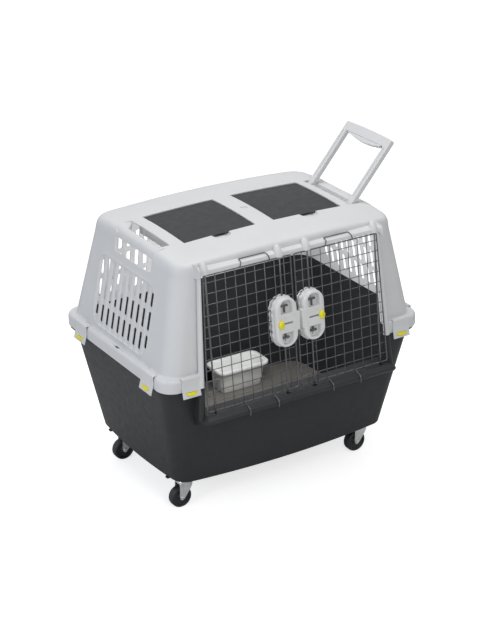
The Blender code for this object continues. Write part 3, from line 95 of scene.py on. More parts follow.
# latches
LATCH_U, LATCH_V, LATCH_HALF_W, LATCH_HALF_H = 0.0425, -0.156, 0.036, 0.070
LATCH_FRONT, BOLT_N, BOLT_R = 0.0250, 0.0056, 0.0025

# clips
CLIP_T, CLIP_FLARE, CLIP_BEND_Z, CLIP_BOTTOM_Z, GAP, BUTTON_TOP = 0.0030, 0.0080, 0.428, 0.397, 0.0003, 0.53

# roof
LID_INNER_X, LID_OUTER_X, LID_HALF_Y, LID_SINK, LID_T = 0.0285, 0.2430, 0.1065, 0.0025, 0.0030
TRAY_FLOOR_Z, TRAY_WALL, LEDGE = 0.7020, 0.0030, 0.0060
SLOT_IN_X, SLOT_HALF_Y = 0.268, 0.107
LEFT_SLOT_IN_X, LEFT_SLOT_HALF_Y, LEFT_SLOT_Y = -0.2785, 0.0985, -0.0105
WINDOW_HALF_Y, WINDOW_BOTTOM_Z = 0.094, 0.674
VENT_W, VENT_PITCH, VENT_COLUMNS, VENT_MID_Y, VENT_MID_Z = 0.0108, 0.0288, 10, 0.0017, 0.5560
VENT_ROWS = ((0.4695, 0.5165), (0.5300, 0.5800), (0.5936, 0.6430))
REAR_VENT_X, REAR_VENT_PITCH, REAR_VENT_COLUMNS = 0.2270, 0.0270, 6
REAR_VENT_ROWS = ((0.4720, 0.5220), (0.5360, 0.5870), (0.6010, 0.6480))

# tow handle
PIVOT_X, PIVOT_Z, HANDLE_HALF_W, HANDLE_LENGTH = 0.2835, 0.7310, 0.1020, 0.208
HANDLE_LEAN, ARM_W, ARM_T, BAR_W, EYE_R, PIN_R = math.radians(40.0), 0.019, 0.014, 0.026, 0.0080, 0.0040

# floor, bowl and casters
FLOOR_TOP_Z, FLOOR_T = 0.1275, 0.0040
BOWL_X, BOWL_Y, BOWL_HALF_X, BOWL_HALF_Y, BOWL_H = 0.098, 0.165, 0.085, 0.046, 0.074
GROUND_Z, CASTER_X, CASTER_Y, WHEEL_R, WHEEL_W, WHEEL_TRAIL = 0.0070, 0.2870, 0.156, 0.0305, 0.022, 0.010

SIDES = (-1, 1)
CORNERS = [(a + "_" + b, sx, sy) for a, sy in (("front", -1), ("rear", 1)) for b, sx in (("left", -1), ("right", 1))]


def srgb(red, green, blue):
    """Linear colour of an 8-bit screen colour."""
    c = np.array([red, green, blue]) / 255.0
    return tuple(np.where(c <= 0.04045, c / 12.92, ((c + 0.055) / 1.055) ** 2.4))


# meshes from numpy arrays

def quads(rows, cols, wrap_rows=False, wrap_cols=True):
    """Faces of a grid of points, row by row."""
    i = np.arange(rows if wrap_rows else rows - 1)[:, None]
    j = np.arange(cols if wrap_cols else cols - 1)[None, :]
    i2, j2 = (i + 1) % rows, (j + 1) % cols
    return np.stack([i * cols + j, i * cols + j2, i2 * cols + j2, i2 * cols + j], -1).reshape(-1, 4).tolist()


def skin(rings, closed=False):
    """Surface through equal rings of points, with its first and last ring capped."""
    rings = np.asarray(rings, float)
    rows, cols = rings.shape[:2]
    faces = quads(rows, cols, wrap_rows=closed)
    if not closed:
        faces += [list(range(cols))[::-1], list(range((rows - 1) * cols, rows * cols))]
    return rings.reshape(-1, 3), faces


def merge(parts):
    """Several (points, faces) as one."""
    points, faces, start = [], [], 0
    for p, f in parts:
        points.append(p)
        faces += [[k + start for k in face] for face in f]
        start += len(p)
    return np.concatenate(points), faces


def curve_through(values, steps):
    """Monotone cubic through rows of control values; the parameter is the row number."""
    v = np.asarray(values, float)
    d = np.diff(v, axis=0)
    m = np.zeros_like(v)
    both = d[:-1] * d[1:] > 0
    safe = np.where(both, d[:-1] + d[1:], 1.0)
    m[1:-1] = np.where(both, 2 * d[:-1] * d[1:] / safe, 0.0)
    m[0], m[-1] = d[0], d[-1]
    t = np.linspace(0, len(v) - 1, steps)
    i = np.minimum(t.astype(int), len(v) - 2)
    s = (t - i)[:, None]
    a, b = v[i], v[i + 1]
    return ((1 + 2 * s) * (1 - s) ** 2 * a + s * (1 - s) ** 2 * m[i]
            + s * s * (3 - 2 * s) * b - s * s * (1 - s) * m[i + 1])


def bent(path, bend, steps=5):
    """Path whose inner corners are replaced by short curves that start `bend` before them."""
    path = np.asarray(path, float)
    out = [path[0]]
    for a, p, b in zip(path, path[1:], path[2:]):
        la, lb = np.linalg.norm(a - p), np.linalg.norm(b - p)
        p0, p1 = p + (a - p) * min(bend / la, 0.48), p + (b - p) * min(bend / lb, 0.48)
        s = np.linspace(0, 1, steps)[:, None]
        out += list((1 - s) ** 2 * p0 + 2 * s * (1 - s) * p + s * s * p1)
    return np.array(out + [path[-1]])


def wire(path, radius, sides=10, bend=0.0, dome=True):
    """Round wire: a circle carried along a path without twisting, with rounded ends."""
    p = bent(path, bend) if bend else np.asarray(path, float)
    step = np.diff(p, axis=0)
    step /= np.linalg.norm(step, axis=1)[:, None]
    along = np.vstack([step[:1], step[:-1] + step[1:], step[-1:]])
    along /= np.linalg.norm(along, axis=1)[:, None]
    ref = np.array([0.3, 0.2, 1.0]) if abs(along[0][2]) < 0.8 else np.array([1.0, 0.1, 0.2])
    sides_a, sides_b = [], []
    for t in along:
        ref = ref - t * ref.dot(t)
        ref /= np.linalg.norm(ref)
        sides_a.append(ref)
        sides_b.append(np.cross(t, ref))
    r = np.full(len(p), radius)
    na, nb = np.array(sides_a), np.array(sides_b)
    if dome:
        f = np.array([0.35, 0.8])
        back = np.sqrt(1 - f * f) * radius
        p = np.vstack([p[0] - along[0] * back[:, None] * 0.7, p, (p[-1] + along[-1] * back[:, None] * 0.7)[::-1]])
        r = np.concatenate([f * radius, r, f[::-1] * radius])
        na, nb = (np.vstack([n[:1], n[:1], n, n[-1:], n[-1:]]) for n in (na, nb))
    a = np.arange(sides) * 2 * math.pi / sides
    ring = na[:, None, :] * np.cos(a)[None, :, None] + nb[:, None, :] * np.sin(a)[None, :, None]
    return skin(p[:, None, :] + ring * r[:, None, None])


def inset(outline, distance):
    """Flat outline, counter-clockwise, moved inwards along its corners' bisectors."""
    q = np.asarray(outline, float)
    before, after = q - np.roll(q, 1, 0), np.roll(q, -1, 0) - q
    before /= np.linalg.norm(before, axis=1)[:, None]
    after /= np.linalg.norm(after, axis=1)[:, None]
    n1, n2 = np.stack([-before[:, 1], before[:, 0]], 1), np.stack([-after[:, 1], after[:, 0]], 1)
    n = n1 + n2
    n /= np.maximum(np.linalg.norm(n, axis=1), 1e-9)[:, None]
    return q + n * (distance / np.maximum((n * n1).sum(1), 0.4))[:, None]


def slab(outline, levels, place):
    """Solid between flat outlines; each level is (how far the outline is inset, depth)."""
    return skin([place(*inset(outline, d).T, h) for d, h in levels])


def softened(low, high, radius, steps=3):
    """Levels of a slab whose front edge is rounded, and whose back edge a little."""
    a = np.linspace(0, math.pi / 2, steps + 1)
    front = [(radius * (1 - math.cos(t)), high - radius * (1 - math.sin(t))) for t in a]
    return [(radius * 0.4, low), (0.0, low + radius * 0.4)] + front


def rounded_rectangle(width, height, radius, steps=5):
    """Outline, counter-clockwise, centred."""
    a = np.linspace(0, math.pi / 2, steps + 1)
    arc = np.stack([np.cos(a), np.sin(a)], 1) * radius
    x, y = width / 2 - radius, height / 2 - radius
    turn = lambda k: arc @ np.array([[math.cos(k * math.pi / 2), math.sin(k * math.pi / 2)],
                                     [-math.sin(k * math.pi / 2), math.cos(k * math.pi / 2)]])
    return np.vstack([turn(k) + c for k, c in enumerate([(x, y), (-x, y), (-x, -y), (x, -y)])])


def revolve(profile, sides, place):
    """Turn (radius, height) rows about an axis; place(a, b, height) sets the points."""
    profile = np.asarray(profile, float)
    a = np.arange(sides) * 2 * math.pi / sides
    r, h = profile[:, :1], profile[:, 1:]
    return place(r * np.cos(a), r * np.sin(a), h + 0 * a)


def box_part(x0, x1, y0, y1, z0, z1):
    """Closed box."""
    outline = [(x0, y0), (x1, y0), (x1, y1), (x0, y1)]
    return slab(outline, [(0, z0), (0, z1)], along_z)


def along_z(a, b, d):
    """Flat points (a, b) at height d; the two below stand them up along X and Y."""
    return np.stack([a, b, d + 0 * a], -1)


def along_x(a, b, d):
    return np.stack([d + 0 * a, a, b], -1)


def along_y(a, b, d):
    return np.stack([a, d + 0 * a, b], -1)


def on_door(u, v, n):
    """Point in the doors' plane: u along the crate, v up the plane, n out of it."""
    u, v, n = np.broadcast_arrays(u, v, n)
    return np.stack([u, DOOR_Y + v * SIN_L - n * COS_L, SHOULDER_Z + v * COS_L + n * SIN_L], -1)


def new_piece(name, part, angle=40.0):
    """Mesh object from crate coordinates, facing out, smooth below `angle` degrees."""
    points, faces = part
    mesh = bpy.data.meshes.new(name)
    mesh.from_pydata((points + OFFSET).tolist(), [], faces)
    bm = bmesh.new()
    bm.from_mesh(mesh)
    bmesh.ops.recalc_face_normals(bm, faces=bm.faces)
    bm.to_mesh(mesh)
    bm.free()
    ob = bpy.data.objects.new(name, mesh)
    bpy.context.scene.collection.objects.link(ob)
    smooth(ob, angle)
    return ob


def smooth(ob, angle):
    """Shade smooth, with sharp edges above `angle` degrees."""
    ob.data.shade_smooth()
    ob.data.set_sharp_from_angle(angle=math.radians(angle))


def carve(ob, jobs, angle=40.0):
    """Cut away or join on closed parts, in order; each job is (operation, part)."""
    for operation, part in jobs:
        tool = new_piece("carving_tool", part)
        mod = ob.modifiers.new("carve", "BOOLEAN")
        mod.operation, mod.solver, mod.object = operation, "MANIFOLD", tool
        graph = bpy.context.evaluated_depsgraph_get()
        mesh = bpy.data.meshes.new_from_object(ob.evaluated_get(graph))
        if len(mesh.polygons) == 0:
            raise RuntimeError("carving left nothing of " + ob.name)
        ob.modifiers.clear()
        old, ob.data = ob.data, mesh
        mesh.name = ob.name
        bpy.data.meshes.remove(old)
        bpy.data.meshes.remove(tool.data)
    smooth(ob, angle)
    return ob


def bevelled(ob, width, segments, angle):
    """Rounded edges that catch the light."""
    mod = ob.modifiers.new("edges", "BEVEL")
    mod.width, mod.segments, mod.limit_method = width, segments, "ANGLE"
    mod.angle_limit = math.radians(angle)
    return ob


# materials

def shader_nodes(name):
    """New material with its node tree, shader and node maker."""
    mat = bpy.data.materials.new(name)
    mat.use_nodes = True
    tree = mat.node_tree
    return mat, tree, tree.nodes["Principled BSDF"], tree.nodes.new


def link(tree, a, out, b, into):
    tree.links.new(a.outputs[out], b.inputs[into])


def noise(tree, coords, scale, detail=3.0, rough=0.55, stretch=None):
    """Noise texture in object coordinates, stretched if asked."""
    node = tree.nodes.new("ShaderNodeTexNoise")
    node.inputs["Scale"].default_value = scale
    node.inputs["Detail"].default_value = detail
    node.inputs["Roughness"].default_value = rough
    if stretch is not None:
        turn = tree.nodes.new("ShaderNodeMapping")
        turn.inputs["Scale"].default_value = stretch
        link(tree, coords, "Object", turn, "Vector")
        link(tree, turn, "Vector", node, "Vector")
    else:
        link(tree, coords, "Object", node, "Vector")
    return node


def spread(tree, source, low, high, out="Fac"):
    """Map a noise value to a range."""
    node = tree.nodes.new("ShaderNodeMapRange")
    node.inputs["From Min"].default_value = 0.3
    node.inputs["From Max"].default_value = 0.7
    node.inputs["To Min"].default_value = low
    node.inputs["To Max"].default_value = high
    link(tree, source, out, node, "Value")
    return node


def moulded(name, colour, rough=0.45, grain=1600.0, depth=0.02, mottle=0.04, scuff=0.0, specular=0.5):
    """Moulded plastic: fine grain in the bump, faint clouding of colour and gloss, light scuffs."""
    mat, tree, shader, new = shader_nodes(name)
    coords = new("ShaderNodeTexCoord")
    cloud = noise(tree, coords, 9.0, 4.0)
    shade = spread(tree, cloud, 1.0 - mottle, 1.0 + mottle)
    tint = new("ShaderNodeVectorMath")
    tint.operation = "SCALE"
    tint.inputs[0].default_value = colour
    link(tree, shade, "Result", tint, "Scale")
    fine = noise(tree, coords, grain, 2.0)
    gloss = spread(tree, noise(tree, coords, 60.0, 5.0), rough - 0.05, rough + 0.06)
    link(tree, gloss, "Result", shader, "Roughness")
    if scuff:
        streak = noise(tree, coords, 30.0, 6.0, 0.7, (1.0, 1.0, 7.0))
        band = new("ShaderNodeMapRange")
        for key, value in (("From Min", 0.66), ("From Max", 0.80), ("To Min", 0.0), ("To Max", scuff)):
            band.inputs[key].default_value = value
        link(tree, streak, "Fac", band, "Value")
        mix = new("ShaderNodeMix")
        mix.data_type = "RGBA"
        link(tree, band, "Result", mix, "Factor")
        link(tree, tint, "Vector", mix, "A")
        mix.inputs["B"].default_value = (*[min(1.0, c * 1.5 + 0.05) for c in colour], 1.0)
        link(tree, mix, "Result", shader, "Base Color")
    else:
        link(tree, tint, "Vector", shader, "Base Color")
    bump = new("ShaderNodeBump")
    bump.inputs["Strength"].default_value = 0.35
    bump.inputs["Distance"].default_value = depth * 0.001
    link(tree, fine, "Fac", bump, "Height")
    link(tree, bump, "Normal", shader, "Normal")
    shader.inputs["Specular IOR Level"].default_value = specular
    mat.diffuse_color = (*colour, 1.0)
    return mat


def metal(name, colour, rough, metallic, brushed):
    """Drawn or plated steel: fine streaks and clouded gloss."""
    mat, tree, shader, new = shader_nodes(name)
    coords = new("ShaderNodeTexCoord")
    cloud = noise(tree, coords, 120.0, 4.0, 0.6, brushed)
    shade = spread(tree, cloud, 0.86, 1.12)
    tint = new("ShaderNodeVectorMath")
    tint.operation = "SCALE"
    tint.inputs[0].default_value = colour
    link(tree, shade, "Result", tint, "Scale")
    link(tree, tint, "Vector", shader, "Base Color")
    gloss = spread(tree, noise(tree, coords, 300.0, 3.0, 0.6, brushed), rough - 0.08, rough + 0.10)
    link(tree, gloss, "Result", shader, "Roughness")
    bump = new("ShaderNodeBump")
    bump.inputs["Strength"].default_value = 0.2
    bump.inputs["Distance"].default_value = 0.00002
    link(tree, noise(tree, coords, 900.0, 2.0, 0.5, brushed), "Fac", bump, "Height")
    link(tree, bump, "Normal", shader, "Normal")
    shader.inputs["Metallic"].default_value = metallic
    mat.diffuse_color = (*colour, 1.0)
    return mat


LOOKS = {}


def look(name):
    """Material of a finish, made once from the finish settings."""
    if name not in LOOKS:
        c = bpy.context.scene.crate_finish
        LOOKS[name] = {
            "hood_plastic": lambda: moulded("hood_plastic", c.hood, 0.45, 1500.0, 0.03, 0.02, specular=0.35),
            "latch_plastic": lambda: moulded("latch_plastic", c.latch, 0.40, 1700.0, 0.02, 0.03, specular=0.4),
            "tub_plastic": lambda: moulded("tub_plastic", c.tub, 0.50, 1100.0, 0.05, 0.06, 0.10, specular=0.30),
            "lid_plastic": lambda: moulded("lid_plastic", c.lid, 0.55, 700.0, 0.10, 0.05, specular=0.30),
            "floor_plastic": lambda: moulded("floor_plastic", c.floor, 0.60, 900.0, 0.06, 0.06),
            "yellow_plastic": lambda: moulded("yellow_plastic", c.button, 0.32, 1800.0, 0.01, 0.03),
            "bowl_plastic": lambda: moulded("bowl_plastic", c.bowl, 0.30, 1800.0, 0.01, 0.015),
            "wheel_plastic": lambda: moulded("wheel_plastic", c.wheel, 0.42, 900.0, 0.04, 0.12, 0.12, specular=0.4),
            "door_wire": lambda: metal("door_wire", c.wire, 0.30, 0.9, (1.0, 1.0, 0.15)),
            "plated_steel": lambda: metal("plated_steel", c.zinc, 0.36, 0.9, (1.0, 0.2, 1.0)),
        }[name]()
    return LOOKS[name]


def dress(ob, finish, body, nodes=()):
    """Give a piece its finish and body, and hide the nodes it replaces."""
    ob.data.materials.clear()
    ob.data.materials.append(look(finish))
    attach(ob, body)
    if nodes:
        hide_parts(*nodes)
    return ob


# plan outlines of the shells

def plan(half_x, front, back, radius, bow_x, bow_y, corner=9, long_side=44, short_side=24):
    """Rounded rectangle in plan whose sides bulge by bow*(1-t*t), as an (n, 2) array."""
    arc = np.linspace(0, math.pi / 2, corner + 1)
    tl = np.linspace(-1, 1, long_side + 1)[1:-1]
    ts = np.linspace(-1, 1, short_side + 1)[1:-1]
    left, right = SHELL_X - half_x, SHELL_X + half_x
    mid, reach = (front + back) / 2, (back - front) / 2 - radius
    turn = lambda k, cx, cy: np.stack([cx + radius * np.cos(k * math.pi / 2 + arc),
                                       cy + radius * np.sin(k * math.pi / 2 + arc)], 1)
    return np.vstack([
        turn(2, left + radius, front + radius),
        np.stack([SHELL_X + tl * (half_x - radius), front - bow_y * (1 - tl * tl)], 1),
        turn(3, right - radius, front + radius),
        np.stack([right + bow_x * (1 - ts * ts), mid + ts * reach], 1),
        turn(0, right - radius, back - radius),
        np.stack([SHELL_X - tl * (half_x - radius), back + bow_y * (1 - tl * tl)], 1),
        turn(1, left + radius, back - radius),
        np.stack([left - bow_x * (1 - ts * ts), mid - ts * reach], 1)])


def level(outline, z):
    """Flat outline lifted to z."""
    return np.column_stack([outline, np.broadcast_to(z, len(outline))])


def roof_z(x, y):
    """Height of the roof: a crown that falls with the squares of x and y."""
    return CROWN_Z - CROWN_X * x * x - CROWN_Y * y * y


def plane_v(z):
    """How far up the doors' plane height z lies."""
    return (z - SHOULDER_Z) / COS_L


def opening_half(v):
    """Half width of the doorway, straight from its top to the sill."""
    t = (OPEN_TOP_V - v) / (OPEN_TOP_V - SILL_V)
    return OPEN_TOP_HALF + (OPEN_BOTTOM_HALF - OPEN_TOP_HALF) * t


def doorway(v_low, v_high):
    """Cutter for the doorway between two levels of the doors' plane."""
    outline = [(-opening_half(v_low), v_low), (opening_half(v_low), v_low),
               (opening_half(v_high), v_high), (-opening_half(v_high), v_high)]
    return slab(outline, [(0, -0.075), (0, 0.060)], on_door)


def tub_half(z):
    """Half sizes and bulge of the lower shell at height z."""
    t = (z - (BOTTOM_Z + EDGE_R)) / (RIM_BOTTOM_Z - (BOTTOM_Z + EDGE_R))
    return (BOTTOM_HALF_X + (WALL_TOP_HALF_X - BOTTOM_HALF_X) * t,
            BOTTOM_HALF_Y + (WALL_TOP_HALF_Y - BOTTOM_HALF_Y) * t, BOTTOM_BOW * max(0.0, 1.0 - t))


def tub_ring(z, off=0.0):
    """Plan outline of the lower shell at height z, moved out by `off`."""
    hx, hy, bow = tub_half(z)
    return plan(hx + off, -hy - off, hy + off, CORNER_R + off, bow * 0.5, bow)


def jamb_ridge(v_low, v_high, side, tip=0.0):
    """Rounded strip along the doorway's edge, wider towards its foot.

    Its section is an ellipse between the doorway's edge and 0.2785 + 0.075*(top - v).
    """
    v = np.linspace(v_low, v_high, 24)
    outer, near = 0.2785 + 0.075 * (OPEN_TOP_V - v), opening_half(v) - 0.001
    shrink = np.sqrt(np.clip((v_high + 0.0005 - v) / tip, 0.02, 1)) if tip else 1 + 0 * v
    a = np.arange(20) * math.pi / 10
    mid, half = (outer + near) / 2, (outer - near) / 2 * shrink
    u = mid[:, None] + half[:, None] * np.cos(a)
    n = -0.0085 + 0.0085 * np.sin(a) * shrink[:, None]
    return skin(on_door(side * u, v[:, None] + 0 * u, n))


def across_door(section, ends, half):
    """Bar along the crate with a section of (out, up); its ends are rounded by (inset, reach) rows."""
    levels = [(d, -half - e) for d, e in ends] + [(d, half + e) for d, e in ends[::-1]]
    return slab(section, levels, lambda n, v, u: on_door(u, v, n))


def rod_holes(hinge, bolt):
    """Round holes for the hinge rods and the bolts, each given as (low, high, radius)."""
    parts = []
    for side in SIDES:
        for u, n, (v0, v1, r) in ((HINGE_U, 0.0, hinge), (LATCH_U, BOLT_N, bolt)):
            a = np.arange(24) * math.pi / 12
            ring = np.stack([side * u + r * np.cos(a), n + r * np.sin(a)], 1)
            parts.append(skin([on_door(ring[:, 0], v, ring[:, 1]) for v in (v0, v1)]))
    return merge(parts)


# pieces

class CratePiece:
    """Shared settings of the operators."""
    bl_options = {"REGISTER", "UNDO"}


class CRATE_OT_tub(CratePiece, bpy.types.Operator):
    """Lower shell: tapered, bulging tub with its rim bar, sill, jambs and rear wall channel"""
    bl_idname = "crate.tub"
    bl_label = "Lower shell"

    def execute(self, context):
        rings = []
        a = np.linspace(0, math.pi / 2, 7)
        for t in a:
            off = -EDGE_R * (1 - math.sin(t))
            z = BOTTOM_Z + EDGE_R * (1 - math.cos(t))
            hx, hy, bow = BOTTOM_HALF_X + off, BOTTOM_HALF_Y + off, BOTTOM_BOW
            rings.append(level(plan(hx, -hy, hy, CORNER_R + off, bow * 0.5, bow), z))
        for z in np.linspace(BOTTOM_Z + EDGE_R, RIM_BOTTOM_Z, 26)[1:]:
            rings.append(level(tub_ring(z), z))
        out = SKIRT_T + 0.0004
        for z, shrink in ((RIM_BOTTOM_Z, 0.0012), (RIM_BOTTOM_Z + 0.0012, 0.0), (RIM_TOP_Z - 0.001, 0.0),
                          (RIM_TOP_Z, 0.001)):
            hx, hy = RIM_HALF_X - out - shrink, RIM_HALF_Y - out - shrink
            rings.append(level(plan(hx, -hy, hy, CORNER_R - shrink, 0, 0), z))
        for z in np.linspace(RIM_BOTTOM_Z, INNER_FLOOR_Z, 26):
            rings.append(level(tub_ring(z, -WALL), RIM_TOP_Z if z == RIM_BOTTOM_Z else z))
        rings = np.array(rings)
        channel = rings[..., 1] > 0.12
        x = rings[..., 0] - 0.030
        rings[..., 1] += np.where(channel & (rings[..., 2] < RIM_BOTTOM_Z - 0.002),
                                  0.0060 * np.exp(-(x / 0.010) ** 4), 0.0)
        ob = new_piece("tub", skin(rings))
        half = opening_half(SILL_V) + 0.0005
        nose = curve_through([(-0.052, SILL_V + 0.002), (0.0105, SILL_V + 0.002), (NOSE_N - 0.0045, SILL_V - 0.0050),
                              (NOSE_N - 0.001, SILL_V - 0.0075), (NOSE_N, SILL_V - 0.0110),
                              (NOSE_N - 0.0015, SILL_V - 0.0155), (NOSE_N - 0.006, SILL_V - 0.0195),
                              (-0.015, SILL_V - 0.032), (-0.064, SILL_V - 0.044)], 33)
        ends = [(0.0070, 0.0070), (0.0040, 0.0062), (0.0018, 0.0046), (0.0005, 0.0024), (0, 0)]
        jobs = [("UNION", across_door(nose[::-1], ends, half))]
        for side in SIDES:
            jobs.append(("UNION", jamb_ridge(SILL_V - 0.012, plane_v(SKIRT_BOTTOM_Z - 0.0012), side)))
            rib = [on_door(side * np.array([opening_half(v) - 0.002, opening_half(v) + JAMB_W,
                                            opening_half(v) + JAMB_W, opening_half(v) - 0.002]), v,
                           np.array([back, back, -0.008, -0.008]))
                   for v, back in ((SILL_V - 0.010, -0.052), (plane_v(SKIRT_BOTTOM_Z - 0.0010), -0.030))]
            jobs.append(("UNION", skin(rib)))
        span = (SILL_V - 0.0125, SILL_V + 0.02)
        jobs += [("DIFFERENCE", doorway(SILL_V, 0.0)),
                 ("DIFFERENCE", rod_holes((*span, 0.0044), (*span, 0.0058)))]
        carve(ob, jobs, 35)
        dress(ob, "tub_plastic", "crate", ["lower_shell"])
        return {"FINISHED"}


SHORT_SIDE = 200         # points along each end wall of the hood
# drop below the roof, share of its curve, steps inwards at the ends, front and back
SHOULDER = [(0.0449, 0.0, 0.0, 0.0, 0.0),
            (0.0230, 0.35, 0.0034, 0.0016, 0.0034),
            (0.0095, 0.70, 0.0085, 0.0042, 0.0085),
            (0.0025, 0.90, 0.0170, 0.0105, 0.0170),
            (0.0000, 1.00, 0.0390, 0.0310, 0.0390)]


def hood_rings(inner):
    """Wall, shoulder and roof rings of the hood.

    The wall tapers straight, the shoulder follows a monotone cubic through drop and step
    values, and the roof is CROWN_Z - CROWN_X*x*x - CROWN_Y*y*y.
    """
    off = WALL if inner else 0.0
    fine = dict(corner=9, long_side=44, short_side=24 if inner else SHORT_SIDE)
    rings = []
    for share in np.linspace(0, 1, 8 if inner else 78)[:-1]:
        z = FLANGE_TOP_Z + (SHOULDER_Z - FLANGE_TOP_Z) * share
        if inner and share == 0.0:
            z = SEAT_Z
        hx = HOOD_HALF_X + (SHOULDER_HALF_X - HOOD_HALF_X) * share - off
        fy = HOOD_HALF_Y + (SHOULDER_FRONT - HOOD_HALF_Y) * share - off
        by = HOOD_HALF_Y + (SHOULDER_BACK - HOOD_HALF_Y) * share - off
        p = plan(hx, -fy, by, CORNER_R - off, ROOF_BOW * share * 0.5, ROOF_BOW * share, **fine)
        rings.append(level(p, z))
    ref = roof_z(0.30, 0.18)
    for drop, share, sx, sf, sb in curve_through(SHOULDER, 9 if inner else 21):
        low = off * (1 - 0.5 * share)
        p = plan(SHOULDER_HALF_X - sx - low, -SHOULDER_FRONT + sf + low, SHOULDER_BACK - sb - low,
                 CORNER_R - 0.3 * sx - off * (1 - share), ROOF_BOW * 0.5, ROOF_BOW, **fine)
        rings.append(level(p, ref - drop + share * (roof_z(*p.T) - ref) - off * share))
    last = rings[-1][:, :2]
    centre = np.array([SHELL_X, ROOF_MID_Y])
    for s in np.linspace(1, 0.04, 6 if inner else 16)[1:]:
        p = centre + (last - centre) * s
        rings.append(level(p, roof_z(*p.T) - off))
    return np.array(rings)


def fluted(rings, inner=False):
    """Sink the vent panels into both end walls and press flutes along their slots.

    Inward shift = 3.4 mm inside the panel's rounded outline, less a half round rib of
    3.2 mm between every two slots, and a thin lip stands up along that outline. The
    inner skin moves in by 1.0 mm there.
    """
    x, y, z = rings[..., 0] - SHELL_X, rings[..., 1] - VENT_MID_Y, rings[..., 2]
    half_y, half_z, r = 0.1430, 0.0955, 0.034
    qy, qz = np.abs(y) - (half_y - r), np.abs(z - VENT_MID_Z) - (half_z - r)
    dist = np.hypot(np.maximum(qy, 0), np.maximum(qz, 0)) + np.minimum(np.maximum(qy, qz), 0) - r
    within = np.clip(-dist / 0.0024, 0, 1)
    within = within * within * (3 - 2 * within)
    beside = (y / VENT_PITCH) % 1.0
    beside = np.minimum(beside, 1.0 - beside) * VENT_PITCH
    rib = np.sqrt(np.clip(1 - (beside / 0.0078) ** 2, 0, 1))
    lip = np.exp(-((dist - 0.0012) / 0.0016) ** 2)
    shift = -(0.0034 - 0.0032 * rib) * within + 0.0012 * lip
    if inner:
        shift = -0.0010 * within
    wall = (np.abs(x) > 0.30) & (z > FLANGE_TOP_Z) & (np.abs(y) < 0.17)
    rings[..., 0] += np.where(wall, np.sign(x) * shift, 0.0)
    return rings


def stadium_slot(half, low, high, radius):
    """Upright slot with rounded corners, as an outline of (across, up)."""
    return rounded_rectangle(2 * half, high - low, radius, 5) + [0, (low + high) / 2]


def vent_slots():
    """Rows of upright slots through both end walls and the rear wall, as two cutters."""
    ends, rear = [], []
    for i in range(VENT_COLUMNS):
        y = VENT_MID_Y + VENT_PITCH * (i - (VENT_COLUMNS - 1) / 2)
        trim = 0.0125 if i in (0, VENT_COLUMNS - 1) else 0.0
        for k, (low, high) in enumerate(VENT_ROWS):
            shape = stadium_slot(VENT_W / 2, low + trim * (k == 0), high - trim * (k == 2), 0.0045)
            ends.append(slab(shape + [y, 0], [(0, -0.45), (0, 0.45)], along_x))
    for side in SIDES:
        for i in range(REAR_VENT_COLUMNS):
            x = SHELL_X + side * REAR_VENT_X + REAR_VENT_PITCH * (i - (REAR_VENT_COLUMNS - 1) / 2)
            for low, high in REAR_VENT_ROWS:
                shape = stadium_slot(0.0062, low, high, 0.0045)
                rear.append(slab(shape + [x, 0], [(0, 0.15), (0, 0.33)], along_y))
    return merge(ends), merge(rear)


def roof_block(x0, x1, y0, y1, top, bottom, flat=None, radius=0.002):
    """Closed block whose top lies `top` above the roof's curve.

    Its underside lies `bottom` above that curve, or at the height `flat`.
    """
    outline = rounded_rectangle(x1 - x0, y1 - y0, radius, 3) + [(x0 + x1) / 2, (y0 + y1) / 2]
    dense = []
    for a, b in zip(outline, np.roll(outline, -1, 0)):
        n = max(1, int(np.linalg.norm(b - a) / 0.012))
        dense.append(a + (b - a) * (np.arange(n) / n)[:, None])
    edge = np.vstack(dense)
    centre = edge.mean(0)
    low_rings, top_rings = [], []
    for s in (1.0, 0.85, 0.6, 0.3, 0.02):
        p = centre + (edge - centre) * s
        z = roof_z(*p.T)
        top_rings.append(level(p, z + top))
        low_rings.append(level(p, z + bottom if flat is None else flat))
    return skin(low_rings[::-1] + top_rings)


def lid_span(side):
    """Near and far x of a roof lid."""
    return (LID_INNER_X, LID_OUTER_X) if side > 0 else (-LID_OUTER_X, -LID_INNER_X)


def slot_span(side):
    """Half length and middle of the pocket round a carrying bar."""
    return (SLOT_HALF_Y, ROOF_MID_Y) if side > 0 else (LEFT_SLOT_HALF_Y, LEFT_SLOT_Y)


def carry_bar(side):
    """Carrying bar in its pocket: a rounded section carried along the crate's depth.

    The section grows towards the pocket's wall over the last part of its length,
    by a smooth step, so that both ends run out in a fillet.
    """
    inner = -0.2870 if side > 0 else -0.3040
    section = np.array([(-0.3275, 0.7110), (-0.3262, 0.7190), (-0.3228, 0.7285), (-0.3165, 0.7345),
                        ((inner - 0.3165) / 2, 0.7370), (inner, 0.7350), (inner + 0.0010, 0.7260),
                        (inner - 0.001, 0.7150), (-0.3160, 0.7095), (-0.3240, 0.7088)])
    swollen = section + np.array([[0, 0], [0, 0], [0, 0.0005], [0, 0.0020], [0.003, 0.0030],
                                  [0.024, 0.0040], [0.024, 0], [0.024, -0.004], [0.010, -0.003], [0, 0]])
    if side > 0:
        section, swollen = (g * [-1, 1] + [2 * SHELL_X, 0.0] for g in (section, swollen))
    close = lambda g: curve_through(np.vstack([g, g[:1]]), 37)[:-1]
    section, swollen = close(section), close(swollen)
    half, mid = slot_span(side)
    y = np.concatenate([[-half - 0.010], np.linspace(-half, half, 40), [half + 0.010]])
    ramp = np.clip(np.maximum((y - half + 0.034) / 0.034, (0.012 - half - y) / 0.012), 0, 1)
    grow = ramp * ramp * (3 - 2 * ramp) * (0.0 if side > 0 else 1.0)
    rings = [along_y(*(section + (swollen - section) * g).T, v + mid) for v, g in zip(y, grow)]
    return skin(rings)


